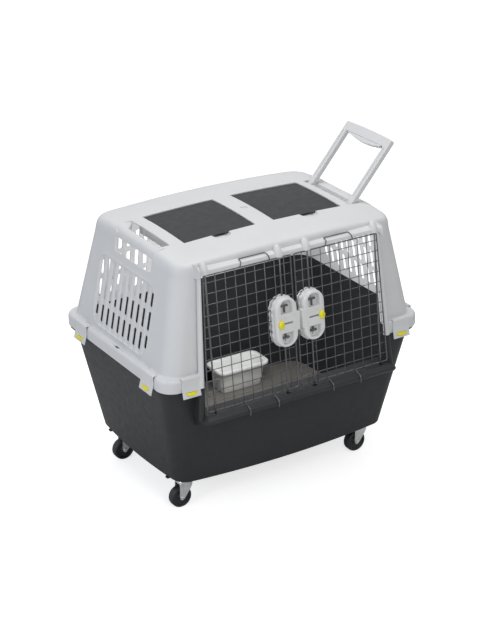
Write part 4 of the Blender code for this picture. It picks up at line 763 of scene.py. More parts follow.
class CRATE_OT_hood(CratePiece, bpy.types.Operator):
    """Upper shell: hood with rim, fluted vent panels, door surround, lid recesses and carrying bars"""
    bl_idname = "crate.hood"
    bl_label = "Upper shell"

    def execute(self, context):
        outer, inner = fluted(hood_rings(False)), fluted(hood_rings(True), True)
        fine = dict(corner=9, long_side=44, short_side=SHORT_SIDE)
        rim = lambda shrink, z: level(plan(RIM_HALF_X - shrink, -RIM_HALF_Y + shrink, RIM_HALF_Y - shrink,
                                           CORNER_R - shrink * 0.5, 0, 0, **fine), z)
        a = np.linspace(0, math.pi / 2, 6)
        skirt = [rim(SKIRT_T, SEAT_Z), rim(SKIRT_T, SKIRT_BOTTOM_Z + 0.0006), rim(SKIRT_T - 0.0006, SKIRT_BOTTOM_Z),
                 rim(0.0008, SKIRT_BOTTOM_Z), rim(0.0, SKIRT_BOTTOM_Z + 0.0010), rim(0.0, SKIRT_BOTTOM_Z + 0.014)]
        skirt += [rim(0.0065 * (1 - math.cos(t)), FLANGE_TOP_Z - 0.0105 + 0.0105 * math.sin(t)) for t in a]
        skirt += [rim(0.0090, FLANGE_TOP_Z), rim(0.0105, FLANGE_TOP_Z)]
        fillet = []
        for t in np.linspace(0, 1, 5)[:-1]:
            out = 0.0035 * (1 - t) ** 2
            outline = plan(HOOD_HALF_X + out, -HOOD_HALF_Y - out, HOOD_HALF_Y + out, CORNER_R, 0, 0, **fine)
            fillet.append(level(outline, FLANGE_TOP_Z + 0.0035 * t * t))
        gutter = np.array(skirt[-1:] + fillet)
        reach = np.clip((0.176 - np.abs(gutter[..., 1] - VENT_MID_Y)) / 0.004, 0, 1) * (np.abs(gutter[..., 0]) > 0.34)
        gutter[..., 2] -= 0.0024 * reach * np.array([1, 1, 0.9, 0.6, 0.3])[:, None]
        outside = np.concatenate([np.array(skirt[:-1]), gutter, outer[1:]])
        ob = new_piece("hood", join_shell(inner, outside))
        jobs = []
        low = OPEN_TOP_V - 0.002
        half = OPEN_TOP_HALF + 0.0010
        band = np.array([(-0.034, low), (0.0022, low), (0.0030, low + 0.0008), (0.0030, OPEN_TOP_V + 0.0070),
                         (0.0024, OPEN_TOP_V + 0.0088), (0.0004, OPEN_TOP_V + 0.0104), (-0.008, OPEN_TOP_V + 0.0135),
                         (-0.020, OPEN_TOP_V + 0.0165), (-0.034, OPEN_TOP_V + 0.0180)])
        ends = [(0.0085, 0.0090), (0.0055, 0.0078), (0.0028, 0.0058), (0.0010, 0.0032), (0, 0)]
        jobs.append(("UNION", across_door(band[::-1], ends, half)))
        for side in SIDES:
            ridge = jamb_ridge(plane_v(SKIRT_BOTTOM_Z + 0.002), OPEN_TOP_V + 0.004, side, 0.012)
            jobs.append(("UNION", ridge))
        for side in SIDES:
            for u, r, n0 in ((HINGE_U, 0.0108, -0.0015), (LATCH_U, 0.0115, 0.0020)):
                t = np.linspace(0, math.pi / 2 - 0.03, 9)
                shape = np.vstack([[(r, low - 0.0002)], np.stack([r * np.cos(t) ** 0.8,
                                                                  OPEN_TOP_V + 0.0080 + 0.0225 * np.sin(t)], 1)])
                dome = revolve(shape, 28, lambda a, b, h, u=side * u, n0=n0: on_door(
                    u + a, h, b + n0 - 0.28 * np.maximum(0.0, h - OPEN_TOP_V - 0.004)))
                jobs.append(("UNION", skin(dome)))
        for side in SIDES:
            x0, x1 = lid_span(side)
            grow = LEDGE + 0.001
            jobs.append(("UNION", roof_block(x0 - grow, x1 + grow, ROOF_MID_Y - LID_HALF_Y - 0.0265 - 0.016,
                                             ROOF_MID_Y + LID_HALF_Y + grow, -0.0010, 0.0,
                                             TRAY_FLOOR_Z - TRAY_WALL)))
        jobs.append(("DIFFERENCE", doorway(-0.30, OPEN_TOP_V)))
        ends, rear = vent_slots()
        jobs += [("DIFFERENCE", ends), ("DIFFERENCE", rear)]
        for side in SIDES:
            x0, x1 = sorted((SHELL_X + side * 0.400, SLOT_IN_X if side > 0 else LEFT_SLOT_IN_X))
            wide, mid = slot_span(side)
            slot = rounded_rectangle(2 * wide, 0.120, 0.012, 6) + [mid, 0.724 + 0.060]
            jobs.append(("DIFFERENCE", slab(slot, [(0, x0), (0, x1)], along_x)))
            win = rounded_rectangle(2 * WINDOW_HALF_Y, 0.060, 0.008, 5) + [ROOF_MID_Y, WINDOW_BOTTOM_Z + 0.030]
            x0, x1 = sorted((SHELL_X + side * 0.316, SHELL_X + side * 0.400))
            jobs.append(("DIFFERENCE", slab(win, [(0, x0), (0, x1)], along_x)))
        for side in SIDES:
            jobs.append(("UNION", carry_bar(side)))
        bosses = []
        for end in SIDES:
            y = ROOF_MID_Y + end * (SLOT_HALF_Y + 0.007)
            bosses.append(box_part(PIVOT_X - 0.010, PIVOT_X + 0.018, y - 0.007, y + 0.007,
                                   PIVOT_Z - 0.012, PIVOT_Z + 0.0055))
        jobs.append(("UNION", merge(bosses)))
        for side in SIDES:
            x0, x1 = lid_span(side)
            y0, y1 = ROOF_MID_Y - LID_HALF_Y, ROOF_MID_Y + LID_HALF_Y
            floor = -(LID_SINK + LID_T + GAP)
            jobs.append(("DIFFERENCE", roof_block(x0 - 0.0006, x1 + 0.0006, y0 - 0.0006, y1 + 0.0006,
                                                  0.010, floor)))
            jobs.append(("DIFFERENCE", roof_block(x0 + LEDGE, x1 - LEDGE, y0 + LEDGE, y1 - LEDGE,
                                                  0.020, 0.0, TRAY_FLOOR_Z)))
            mid = (x0 + x1) / 2
            top = roof_z(mid, y0)
            scoop = [(0.0195, -0.0100), (0.0228, -0.0088), (0.0252, -0.0060), (0.0262, -0.0015), (0.0268, 0.012)]
            dish = lambda a, b, h: np.stack([mid + a, y0 - 0.0030 + b * 0.92, top + h + 0.10 * b * (h < 0)], -1)
            jobs.append(("DIFFERENCE", skin(revolve(scoop, 48, dish))))
        pin = [(PIN_R + GAP, -SLOT_HALF_Y - 0.0103), (PIN_R + GAP, SLOT_HALF_Y + 0.0103)]
        jobs.append(("DIFFERENCE", skin(revolve(pin, 24, about_pivot))))
        jobs.append(("DIFFERENCE", box_part(SHELL_X - 0.0085, SHELL_X + 0.0085, -0.018, -0.004,
                                            roof_z(0, 0) - 0.0028, 0.80)))
        small = []
        for side in SIDES:
            xs = sorted((SHELL_X + side * (RIM_HALF_X - 0.0138), SHELL_X + side * (RIM_HALF_X - 0.0052)))
            small.append(box_part(*xs, ROOF_MID_Y - 0.011, ROOF_MID_Y + 0.011,
                                  FLANGE_TOP_Z - 0.0050, FLANGE_TOP_Z + 0.004))
            for sy in SIDES:
                for k in (0.0, 0.0065):
                    x = SHELL_X + side * (RIM_HALF_X - 0.0165 - k)
                    y = sy * (RIM_HALF_Y - 0.0165 + k * 0.6)
                    hole = [(0.0013, FLANGE_TOP_Z - 0.0028), (0.0013, FLANGE_TOP_Z + 0.004)]
                    small.append(skin(revolve(hole, 12, lambda a, b, h: np.stack([x + a, y + b, h], -1))))
        jobs.append(("DIFFERENCE", merge(small)))
        jobs.append(("DIFFERENCE", rod_holes((OPEN_TOP_V - 0.02, OPEN_TOP_V + 0.0135, 0.0038),
                                             (OPEN_TOP_V - 0.02, OPEN_TOP_V + 0.0115, 0.0040))))
        carve(ob, jobs, 32)
        dress(ob, "hood_plastic", "crate", ["upper_shell"])
        return {"FINISHED"}


def about_pivot(a, b, h):
    """Points turned about the tow handle's axis, h along it."""
    return np.stack([PIVOT_X + a, ROOF_MID_Y + h, PIVOT_Z + b], -1)


def join_shell(inner, outer):
    """One closed surface from inner rings (their own count) and outer rings.

    Both ring sets are lofted alone and bridged between the inner foot and the first
    outer ring, with matching points found by their share of the outline.
    """
    rows_i, n_i = inner.shape[:2]
    rows_o, n_o = outer.shape[:2]
    f_i = [face[::-1] for face in quads(rows_i, n_i)]
    f_o = quads(rows_o, n_o)
    points = np.concatenate([inner.reshape(-1, 3), outer.reshape(-1, 3)])
    start = rows_i * n_i
    faces = f_i + [[k + start for k in face] for face in f_o]
    faces.append(list(range((rows_i - 1) * n_i, rows_i * n_i)))
    faces.append([start + k for k in range((rows_o - 1) * n_o, rows_o * n_o)][::-1])
    a, b = inner[0], outer[0]
    ang = lambda p: np.unwrap(np.arctan2(p[:, 1], p[:, 0] - SHELL_X))
    ta, tb = ang(a), ang(b)
    i = j = 0
    while i < n_i or j < n_o:
        next_a = ta[i + 1] if i + 1 < n_i else ta[0] + 2 * math.pi
        next_b = tb[j + 1] if j + 1 < n_o else tb[0] + 2 * math.pi
        if j >= n_o or (i < n_i and next_a <= next_b):
            faces.append([i % n_i, (i + 1) % n_i, start + j % n_o])
            i += 1
        else:
            faces.append([i % n_i, start + (j + 1) % n_o, start + j % n_o])
            j += 1
    return points, faces


class CRATE_OT_doors(CratePiece, bpy.types.Operator):
    """Both wire doors: welded frame, mesh, hinge rod, header loop and sill hooks"""
    bl_idname = "crate.doors"
    bl_label = "Wire doors"

    def execute(self, context):
        top, low = DOOR_TOP_V, DOOR_BOTTOM_V
        edge = lambda v: opening_half(v) - DOOR_CLEAR
        for side, word in ((-1, "left"), (1, "right")):
            w = lambda rows: on_door(*(np.array(rows, float) * [side, 1, 1]).T)
            parts = [wire(w([(DOOR_MEET_U, low + 0.05, 0), (DOOR_MEET_U, top, 0), (edge(top), top, 0),
                             (edge(low), low, 0), (DOOR_MEET_U, low, 0), (DOOR_MEET_U, low + 0.052, 0)]),
                          0.0018, 12, 0.005),
                     wire(w([(HINGE_U, SILL_V - 0.0115, 0), (HINGE_U, OPEN_TOP_V + 0.013, 0)]), 0.0024, 14)]
            for k in range(8):
                u = MESH_FIRST_U + MESH_PITCH_U * k
                parts.append(wire(w([(u, low, LAYER), (u, top, LAYER)]), WIRE_VISIBLE_R, 10))
            for k in range(12):
                v = MESH_FIRST_V - MESH_PITCH_V * k
                parts.append(wire(w([(DOOR_MEET_U, v, -LAYER), (edge(v), v, -LAYER)]), WIRE_VISIBLE_R, 10))
            face = 0.005
            feet = (0.0715, 0.1606) if side < 0 else (0.1007, 0.1870)
            rise = [(top, 0.001), (top + 0.0035, face), (top + 0.0150, face), (top + 0.0200, face - 0.0135)]
            loop = [(feet[0] + 0.004 * (i > 1), v, n) for i, (v, n) in enumerate(rise)]
            loop += [(feet[1] - 0.004 * (i > 1), v, n) for i, (v, n) in reversed(list(enumerate(rise)))]
            parts.append(wire(w(loop), LOOP_R, 10, 0.004))
            for u in (0.0863, 0.1745):
                reach = NOSE_N + 0.0022
                parts.append(wire(w([(u, low + 0.002, 0.001), (u, low - 0.0008, 0.010), (u, low - 0.0102, reach),
                                     (u, low - 0.0275, reach)]), LOOP_R, 10, 0.006))
            ob = new_piece(word + "_wire_door", merge(parts), 60)
            dress(ob, "door_wire", word + "_door", [word + "_door_grille"])
        return {"FINISHED"}


def scalloped(half_w, half_h, wave, lobes):
    """Oval outline, counter-clockwise, whose edge is pulled in along `lobes` finger scallops."""
    straight = half_h - half_w
    n = 160
    total = 2 * math.pi * half_w + 4 * straight
    s = np.arange(n) / n * total
    arc = math.pi * half_w
    x, y = np.zeros(n), np.zeros(n)
    nx, ny = np.zeros(n), np.zeros(n)
    for low, kind in ((0, "right"), (2 * straight, "top"), (2 * straight + arc, "left"),
                      (4 * straight + arc, "bottom")):
        span = arc if kind in ("top", "bottom") else 2 * straight
        m = (s >= low - 1e-12) & (s < low + span)
        t = (s[m] - low) / span
        if kind == "right":
            x[m], y[m], nx[m], ny[m] = half_w, -straight + 2 * straight * t, 1, 0
        elif kind == "left":
            x[m], y[m], nx[m], ny[m] = -half_w, straight - 2 * straight * t, -1, 0
        else:
            a = math.pi * t + (0 if kind == "top" else math.pi)
            nx[m], ny[m] = np.cos(a), np.sin(a)
            x[m] = half_w * nx[m]
            y[m] = half_w * ny[m] + (straight if kind == "top" else -straight)
    pull = wave * (0.5 - 0.5 * np.cos(2 * math.pi * lobes * s / total))
    return np.stack([x - nx * pull, y - ny * pull], 1)


def arch(half, near, far, sign):
    """Pocket outline: square corners near the latch's middle, a round arch at the far end."""
    t = np.linspace(0, math.pi, 19)
    r = 0.0135
    round_end = np.stack([np.sign(np.cos(t)) * (half - r) + r * np.cos(t), far - r + r * np.sin(t)], 1)
    out = np.vstack([round_end, [(-half, near), (half, near)]])
    return out * [1, sign] if sign > 0 else (out * [1, sign])[::-1]


class CRATE_OT_latches(CratePiece, bpy.types.Operator):
    """Latches of both doors: scalloped housing, back plate, yellow knob and two bolts"""
    bl_idname = "crate.latches"
    bl_label = "Door latches"

    def execute(self, context):
        top = LATCH_FRONT
        for side, word in ((-1, "left"), (1, "right")):
            place = lambda a, b, n: on_door(side * (LATCH_U + a), LATCH_V + b, n)
            back = LAYER + MESH_R + GAP
            outer = scalloped(LATCH_HALF_W, LATCH_HALF_H, 0.0018, 20)
            plain = scalloped(LATCH_HALF_W, LATCH_HALF_H, 0.0, 20)
            t = np.linspace(0, math.pi / 2, 8)
            bulk = [(0.0, outer, back), (0.0, outer, 0.0080), (0.0011, outer, 0.0088), (0.0024, plain, 0.0092),
                    (0.0024, plain, top - 0.0095)]
            bulk += [(0.0024 + 0.0062 * (1 - math.cos(k)), plain, top - 0.0095 + 0.0095 * math.sin(k)) for k in t[1:]]
            ob = new_piece(word + "_latch", skin([place(*inset(o, d).T, h) for d, o, h in bulk]))
            floor = BOLT_N + BOLT_R + 0.0012
            tab = rounded_rectangle(0.0165, 0.0500, 0.002, 3) + [-LATCH_HALF_W + 0.0058, -0.002]
            plate = rounded_rectangle(0.0540, 0.0500, 0.002, 3) + [-0.0010, -0.002]
            jobs = [("UNION", slab(tab, softened(0.0088, top - 0.0002, 0.0009, 2), place))]
            for sign in SIDES:
                wall = [(0.0018, floor), (0.0004, floor + 0.0005), (0.0, floor + 0.0018), (0.0, top - 0.0016),
                        (-0.0005, top - 0.0005), (-0.0016, top + 0.0002), (-0.0016, top + 0.01)]
                jobs.append(("DIFFERENCE", slab(arch(0.0178, 0.0240, 0.0590, sign), wall, place)))
            face = [(0, top - 0.006), (0, top - 0.0003), (0.0004, top + 0.0002)]
            jobs.append(("UNION", slab(plate, face, place)))
            channel = rounded_rectangle(0.0058, 0.160, 0.001, 2)
            jobs.append(("DIFFERENCE", slab(channel, [(0, -0.002), (0, BOLT_N + BOLT_R + 0.0004)], place)))
            for sign in SIDES:
                neck = rounded_rectangle(0.0018, 0.0150, 0.0005, 2) + [0, sign * 0.0480]
                jobs.append(("DIFFERENCE", slab(neck, [(0, 0.0060), (0, floor + 0.0010)], place)))
            slot = rounded_rectangle(0.0440, 0.0048, 0.0021, 4) + [0.0045, -0.002]
            jobs.append(("DIFFERENCE", slab(slot, [(0, top - 0.0145), (0, top + 0.01)], place)))
            turn = np.arange(16) * math.pi / 8
            circle = np.array([np.cos(turn), np.sin(turn)])
            groove = ((0.0030, top + 0.001), (0.0030, top - 0.0004), (0.0024, top - 0.0004), (0.0024, top + 0.001))
            for spot in ((-0.0195, -0.0185), (-0.0195, 0.0145), (0.0075, -0.0185), (0.0075, 0.0145)):
                ring = [place(*(circle * r + np.array(spot)[:, None]), h) for r, h in groove]
                jobs.append(("DIFFERENCE", skin(ring, closed=True)))
            notches = []
            for k in range(3, 8):
                b0 = MESH_FIRST_V - MESH_PITCH_V * k - LATCH_V
                rise = max(0.0, abs(b0) - 0.034) if abs(b0) >= 0.036 else 0.0
                reach = math.sqrt(LATCH_HALF_W ** 2 - rise ** 2)
                notch = rounded_rectangle(0.010, 0.0030, 0.001, 2) + [reach, b0]
                notches.append(slab(notch, [(0, back - 0.001), (0, back + 0.0032)], place))
            jobs.append(("DIFFERENCE", merge(notches)))
            carve(ob, jobs, 30)
            dress(ob, "latch_plastic", word + "_door", [word + "_latch_housing"])
            front = -back
            rear = [(d, front - h) for d, h in ((0.0075, 0.0098), (0.0045, 0.0092), (0.0022, 0.0078),
                                                (0.0008, 0.0056), (0.0, 0.0030), (0.0, 0.0))]
            ob = new_piece(word + "_latch_rear", slab(outer, rear, place))
            dress(ob, "latch_plastic", word + "_door", [word + "_latch_back_plate"])
            a0, b0 = 0.0205, -0.002
            t = np.arange(48) * 2 * math.pi / 48
            lobe = np.stack([a0 + 0.0070 * np.cos(t) * (1 + 0.10 * np.cos(2 * t)), b0 + 0.0116 * np.sin(t)], 1)
            stem = slab(rounded_rectangle(0.011, 0.0032, 0.001, 2) + [a0 - 0.001, b0],
                        [(0, top - 0.0077), (0, top + 0.003)], place)
            head = slab(lobe, [(0.0016, top + GAP + 0.0003), (0.0, top + 0.0016), (0.0, top + 0.0050),
                               (0.0010, top + 0.0072), (0.0028, top + 0.0086), (0.0046, top + 0.0090)], place)
            ridge = slab(rounded_rectangle(0.0180, 0.0030, 0.0014, 4) + [a0, b0],
                         [(0, top + 0.0020), (0, top + 0.0050), (0.0008, top + 0.0058)], place)
            ob = new_piece(word + "_knob", merge([stem, head, ridge]), 35)
            dress(ob, "yellow_plastic", word + "_latch_slider", [word + "_latch_knob"])
            for sign, name in ((1, "upper"), (-1, "lower")):
                tip = (OPEN_TOP_V - 0.0008 if sign > 0 else SILL_V + 0.0008) - LATCH_V
                root = sign * 0.0245
                rest = floor + GAP
                rod = wire(place(np.zeros(2), np.array([root, tip]), np.full(2, BOLT_N)), BOLT_R * 0.9, 14)
                head = [np.array([0, sign * 0.0430]), np.array([0, sign * 0.0336])]
                neck = slab(rounded_rectangle(0.0012, 0.0035, 0.0004, 2) + head[0],
                            [(0, BOLT_N), (0, rest + 0.002)], place)
                pull = slab(rounded_rectangle(0.0215, 0.0055, 0.0018, 4) + head[0],
                            softened(rest, rest + 0.0060, 0.0012), place)
                stalk = slab(rounded_rectangle(0.0042, 0.0180, 0.0012, 3) + head[1],
                             softened(rest, rest + 0.0050, 0.001), place)
                bolt = word + "_" + name
                ob = new_piece(bolt + "_rod", merge([rod, neck, pull, stalk]), 40)
                dress(ob, "door_wire", bolt + "_bolt_body", [bolt + "_bolt"])
        return {"FINISHED"}


def clip_places():
    """Name, middle on the rim, outward direction and width of each clip."""
    x, y, mid = RIM_HALF_X, RIM_HALF_Y, ROOF_MID_Y
    rows = [("front_left", -0.331, -y, (0, -1), 0.053), ("front_right", 0.331, -y, (0, -1), 0.053),
            ("rear_left", -0.200, y, (0, 1), 0.060), ("rear_right", 0.200, y, (0, 1), 0.060),
            ("left_front", -x, mid - 0.178, (-1, 0), 0.060), ("left_rear", -x, mid + 0.178, (-1, 0), 0.060),
            ("right_front", x, mid - 0.178, (1, 0), 0.060), ("right_rear", x, mid + 0.178, (1, 0), 0.060)]
    return [(n, np.array([SHELL_X + px, py]), np.array(out), w) for n, px, py, out, w in rows]


def leg(s, depth):
    """Point on the clip's flared leg, s down it and `depth` inwards from its face."""
    fall = CLIP_BEND_Z - CLIP_BOTTOM_Z
    length = math.hypot(CLIP_FLARE, fall)
    return (GAP + CLIP_T + CLIP_FLARE * s - depth * fall / length,
            CLIP_BEND_Z - fall * s - depth * CLIP_FLARE / length)


class CRATE_OT_clips(CratePiece, bpy.types.Operator):
    """Rim clips, bent over the rim with a rounded shoulder, and their half-moon buttons"""
    bl_idname = "crate.clips"
    bl_label = "Rim clips"

    def execute(self, context):
        low = FLANGE_TOP_Z + GAP
        fall = CLIP_BEND_Z - CLIP_BOTTOM_Z
        length = math.hypot(CLIP_FLARE, fall)
        for name, base, out, width in clip_places():
            along = np.array([-out[1], out[0]])

            def place(o, z, a):
                o, z, a = np.broadcast_arrays(o, z, a)
                return np.stack([base[0] + out[0] * o + along[0] * a, base[1] + out[1] * o + along[1] * a, z], -1)
            t = np.linspace(0, math.pi / 2, 7)
            r = 0.0045
            shoulder = np.stack([GAP + CLIP_T - r + r * np.cos(t), low + CLIP_T - r + r * np.sin(t)], 1)
            inner_foot, outer_foot = leg(1.0, CLIP_T), leg(1.0, 0.0)
            profile = np.vstack([[(-0.0099, low), (GAP, low), (GAP, CLIP_BEND_Z)], [inner_foot], [outer_foot],
                                 [(GAP + CLIP_T + 0.0006, CLIP_BEND_Z - 0.003), (GAP + CLIP_T, CLIP_BEND_Z + 0.002)],
                                 shoulder, [(-0.0093, low + CLIP_T), (-0.0099, low + CLIP_T - 0.001)]])
            ob = new_piece(name + "_rim_hook", slab(profile[::-1], [(0, -width / 2), (0, width / 2)], place))
            h = 0.0108
            moon_t = np.linspace(0, math.pi, 15)
            moon = np.stack([np.cos(moon_t) * 0.0173, BUTTON_TOP - 0.01 + np.sin(moon_t) * h / length], 1)[::-1]
            hole = skin([place(*leg(moon[:, 1], d), moon[:, 0]) for d in (0.007, -0.004)])
            carve(ob, [("DIFFERENCE", hole)], 30)
            bevelled(ob, 0.0010, 3, 40)
            dress(ob, "hood_plastic", name + "_rim_clip", [name + "_clip"])
            loops = []
            for depth, shrink in ((CLIP_T - 0.0013, 0.0), (0.0, 0.0), (-0.0010, 0.0006), (-0.0015, 0.0018)):
                down = 0.005 + shrink / length + np.sin(moon_t) * (0.0101 - shrink * 1.6) / length
                m = np.stack([np.cos(moon_t) * (0.0168 - shrink), BUTTON_TOP + down], 1)
                loops.append(place(*leg(m[:, 1], depth), m[:, 0]))
            ob = new_piece(name + "_push", skin(loops), 35)
            dress(ob, "yellow_plastic", name + "_rim_button", [name + "_button"])
        return {"FINISHED"}


class CRATE_OT_lids(CratePiece, bpy.types.Operator):
    """Roof compartment lids with a finger notch, following the roof's curve"""
    bl_idname = "crate.lids"
    bl_label = "Roof lids"

    def execute(self, context):
        for side, word in ((-1, "left"), (1, "right")):
            x0, x1 = lid_span(side)
            y0, y1 = ROOF_MID_Y - LID_HALF_Y, ROOF_MID_Y + LID_HALF_Y
            ob = new_piece(word + "_lid_panel",
                           roof_block(x0, x1, y0, y1, -LID_SINK, -LID_SINK - LID_T, radius=0.0025))
            mid = (x0 + x1) / 2
            notch = slab(rounded_rectangle(0.030, 0.010, 0.004, 4) + [mid, y0 - 0.0022],
                         [(0, 0.70), (0, 0.77)], along_z)
            carve(ob, [("DIFFERENCE", notch)], 30)
            bevelled(ob, 0.0006, 2, 40)
            dress(ob, "lid_plastic", word + "_lid", [word + "_roof_lid"])
        return {"FINISHED"}


def handle_place(along, across, out):
    """Handle coordinates: up the arms, along the crate's depth, out of the upper face."""
    s, c = math.sin(HANDLE_LEAN), math.cos(HANDLE_LEAN)
    along, across, out = np.broadcast_arrays(along, across, out)
    return np.stack([PIVOT_X + along * s - out * c, ROOF_MID_Y + across, PIVOT_Z + along * c + out * s], -1)


class CRATE_OT_handle(CratePiece, bpy.types.Operator):
    """Tow handle: grooved arms, bowed bar, ribbed grip and its pin"""
    bl_idname = "crate.handle"
    bl_label = "Tow handle"

    def execute(self, context):
        ht = ARM_T / 2
        w, top = HANDLE_HALF_W, HANDLE_LENGTH
        a = np.linspace(0, math.pi / 2, 6)
        r = 0.006
        corner_hi = np.stack([top - r + r * np.cos(a), w - r + r * np.sin(a)], 1)
        across = np.linspace(-1, 1, 17)[1:-1] * (w - r)
        bow = np.stack([top + 0.0022 * (1 - (across / (w - r)) ** 2), across], 1)
        outline = np.vstack([corner_hi[::-1] * [1, -1], bow, corner_hi, [(0.004, w), (0.004, -w)]])
        edge = [(0.0016, ht), (0.0006, ht - 0.0006), (0, ht - 0.0016)]
        levels = [(d, -h) for d, h in edge] + edge[::-1]
        ob = new_piece("handle_frame", slab(outline, levels, handle_place))
        inner = top - BAR_W
        gap_w = 2 * (w - ARM_W)
        hole = rounded_rectangle(inner + 0.06, gap_w, 0.0035, 4) + [(inner - 0.06) / 2, 0]
        flare = [(-0.0012, ht + 0.003), (-0.0012, ht), (0, ht - 0.0012)]
        jobs = [("DIFFERENCE", slab(hole, [(d, -h) for d, h in flare] + flare[::-1], handle_place))]
        for end in SIDES:
            y0, y1 = sorted((end * (w - ARM_W), end * w))
            eye = [(EYE_R - 0.0006, y0), (EYE_R, y0 + 0.0006), (EYE_R, y1 - 0.0006), (EYE_R - 0.0006, y1)]
            jobs.append(("UNION", skin(revolve(eye, 28, about_pivot))))
        for end in SIDES:
            y0, y1 = sorted((end * (w - ARM_W), end * w))
            bore = [(PIN_R + GAP, y0 - 0.01), (PIN_R + GAP, y1 + 0.01)]
            jobs.append(("DIFFERENCE", skin(revolve(bore, 24, about_pivot))))
            mid = end * (w - ARM_W / 2)
            groove = rounded_rectangle(inner - 0.030, 0.0034, 0.0016, 3) + [(0.026 + inner) / 2, mid]
            jobs.append(("DIFFERENCE", slab(groove, [(0, ht - 0.0014), (0, ht + 0.01)], handle_place)))
        carve(ob, jobs, 30)
        dress(ob, "hood_plastic", "tow_handle", ["tow_handle_frame"])
        half = w - ARM_W - 0.010
        grip_top = inner - GAP
        s = np.linspace(-1, 1, 97)
        depth = 0.0025 + 0.0085 * (1 - s * s) - 0.0007 * (1 - np.cos(s * math.pi * 24))
        lower = np.stack([grip_top - depth, s * half], 1)
        outline = np.vstack([lower[::-1], [(grip_top, -half)], [(grip_top, half)]])
        levels = [(0.0008, -ht + 0.0012), (0, -ht + 0.0024), (0, ht - 0.0024), (0.0008, ht - 0.0012)]
        ob = new_piece("handle_grip", slab(outline[::-1], levels, handle_place), 35)
        dress(ob, "hood_plastic", "tow_handle", ["tow_handle_grip"])
        pin = wire([(PIVOT_X, ROOF_MID_Y + end * SLOT_HALF_Y + end * 0.0085, PIVOT_Z) for end in SIDES], PIN_R, 24)
        dress(new_piece("handle_pin", pin), "hood_plastic", "crate", ["tow_handle_pin"])
        return {"FINISHED"}


class CRATE_OT_floor(CratePiece, bpy.types.Operator):
    """Raised floor with its drain marks, and the food bowl"""
    bl_idname = "crate.floor"
    bl_label = "Floor and bowl"

    def execute(self, context):
        under = FLOOR_TOP_Z - FLOOR_T
        off = -WALL - 0.0030
        rings = []
        for shrink, z in ((0.0008, under), (0, under + 0.0008), (0, FLOOR_TOP_Z - 0.0012),
                          (0.0004, FLOOR_TOP_Z - 0.0004), (0.0012, FLOOR_TOP_Z)):
            hx, hy, bow = tub_half(under)
            hx, hy = hx + off - shrink, hy + off - shrink
            rings.append(level(plan(hx, -hy, hy, CORNER_R + off - shrink, bow * 0.5, bow), z))
        ob = new_piece("floor_tray", skin(rings))
        feet = [skin(revolve([(0.010, INNER_FLOOR_Z + GAP), (0.010, under + 0.001)], 16,
                             lambda a, b, h: np.stack([x + a, y + b, h], -1)))
                for x in (-0.2285, 0.0215, 0.2715) for y in (-0.14, 0.14)]
        marks = []
        for ix in range(-3, 4):
            for iy in range(-2, 3):
                if (ix + iy) % 2:
                    continue
                spots = ((0.0, 0.0), (0.020, 0.010)) if ix % 2 else ((-0.010, 0.0),)
                for dx, dy in spots:
                    cx, cy = ix * 0.085 + dx, iy * 0.075 + dy
                    for start, sweep in ((0.3, 1.9), (3.3, 1.9)):
                        t = np.linspace(start, start + sweep, 9)
                        ring = np.vstack([np.stack([cx + r * np.cos(k), cy + r * np.sin(k)], 1)
                                          for r, k in ((0.0086, t), (0.0046, t[::-1]))])
                        marks.append(slab(ring, [(0, under - 0.003), (0, FLOOR_TOP_Z + 0.003)], along_z))
        carve(ob, [("UNION", merge(feet)), ("DIFFERENCE", merge(marks))], 35)
        dress(ob, "floor_plastic", "crate", ["floor_panel"])
        base = FLOOR_TOP_Z + GAP
        ring = lambda dx, dy, r, z: level(rounded_rectangle(
            2 * (BOWL_HALF_X - dx), 2 * (BOWL_HALF_Y - dy), r, 8) + [BOWL_X, BOWL_Y], z)
        brim = base + BOWL_H
        # steps in along x and y, corner radius, height: up the outside, over the brim, down the inside
        rows = [(0.0205, 0.0175, 0.014, base), (0.0185, 0.0155, 0.016, base + 0.0008),
                (0.0175, 0.0145, 0.017, base + 0.003), (0.0140, 0.0115, 0.018, base + 0.030),
                (0.0105, 0.0085, 0.019, brim - 0.0115), (0.0095, 0.0075, 0.019, brim - 0.0100),
                (0.0020, 0.0020, 0.020, brim - 0.0095), (0.0, 0.0, 0.021, brim - 0.0080),
                (0.0, 0.0, 0.021, brim - 0.0022), (0.0008, 0.0008, 0.021, brim - 0.0007),
                (0.0024, 0.0024, 0.021, brim), (0.0100, 0.0085, 0.018, brim),
                (0.0118, 0.0103, 0.017, brim - 0.0010), (0.0130, 0.0112, 0.016, brim - 0.004),
                (0.0190, 0.0165, 0.014, base + 0.010), (0.0215, 0.0190, 0.012, base + 0.0042),
                (0.0270, 0.0240, 0.010, base + 0.0025)]
        ob = new_piece("bowl_dish", skin([ring(*r) for r in rows]), 50)
        dress(ob, "bowl_plastic", "bowl", ["food_bowl"])
        return {"FINISHED"}


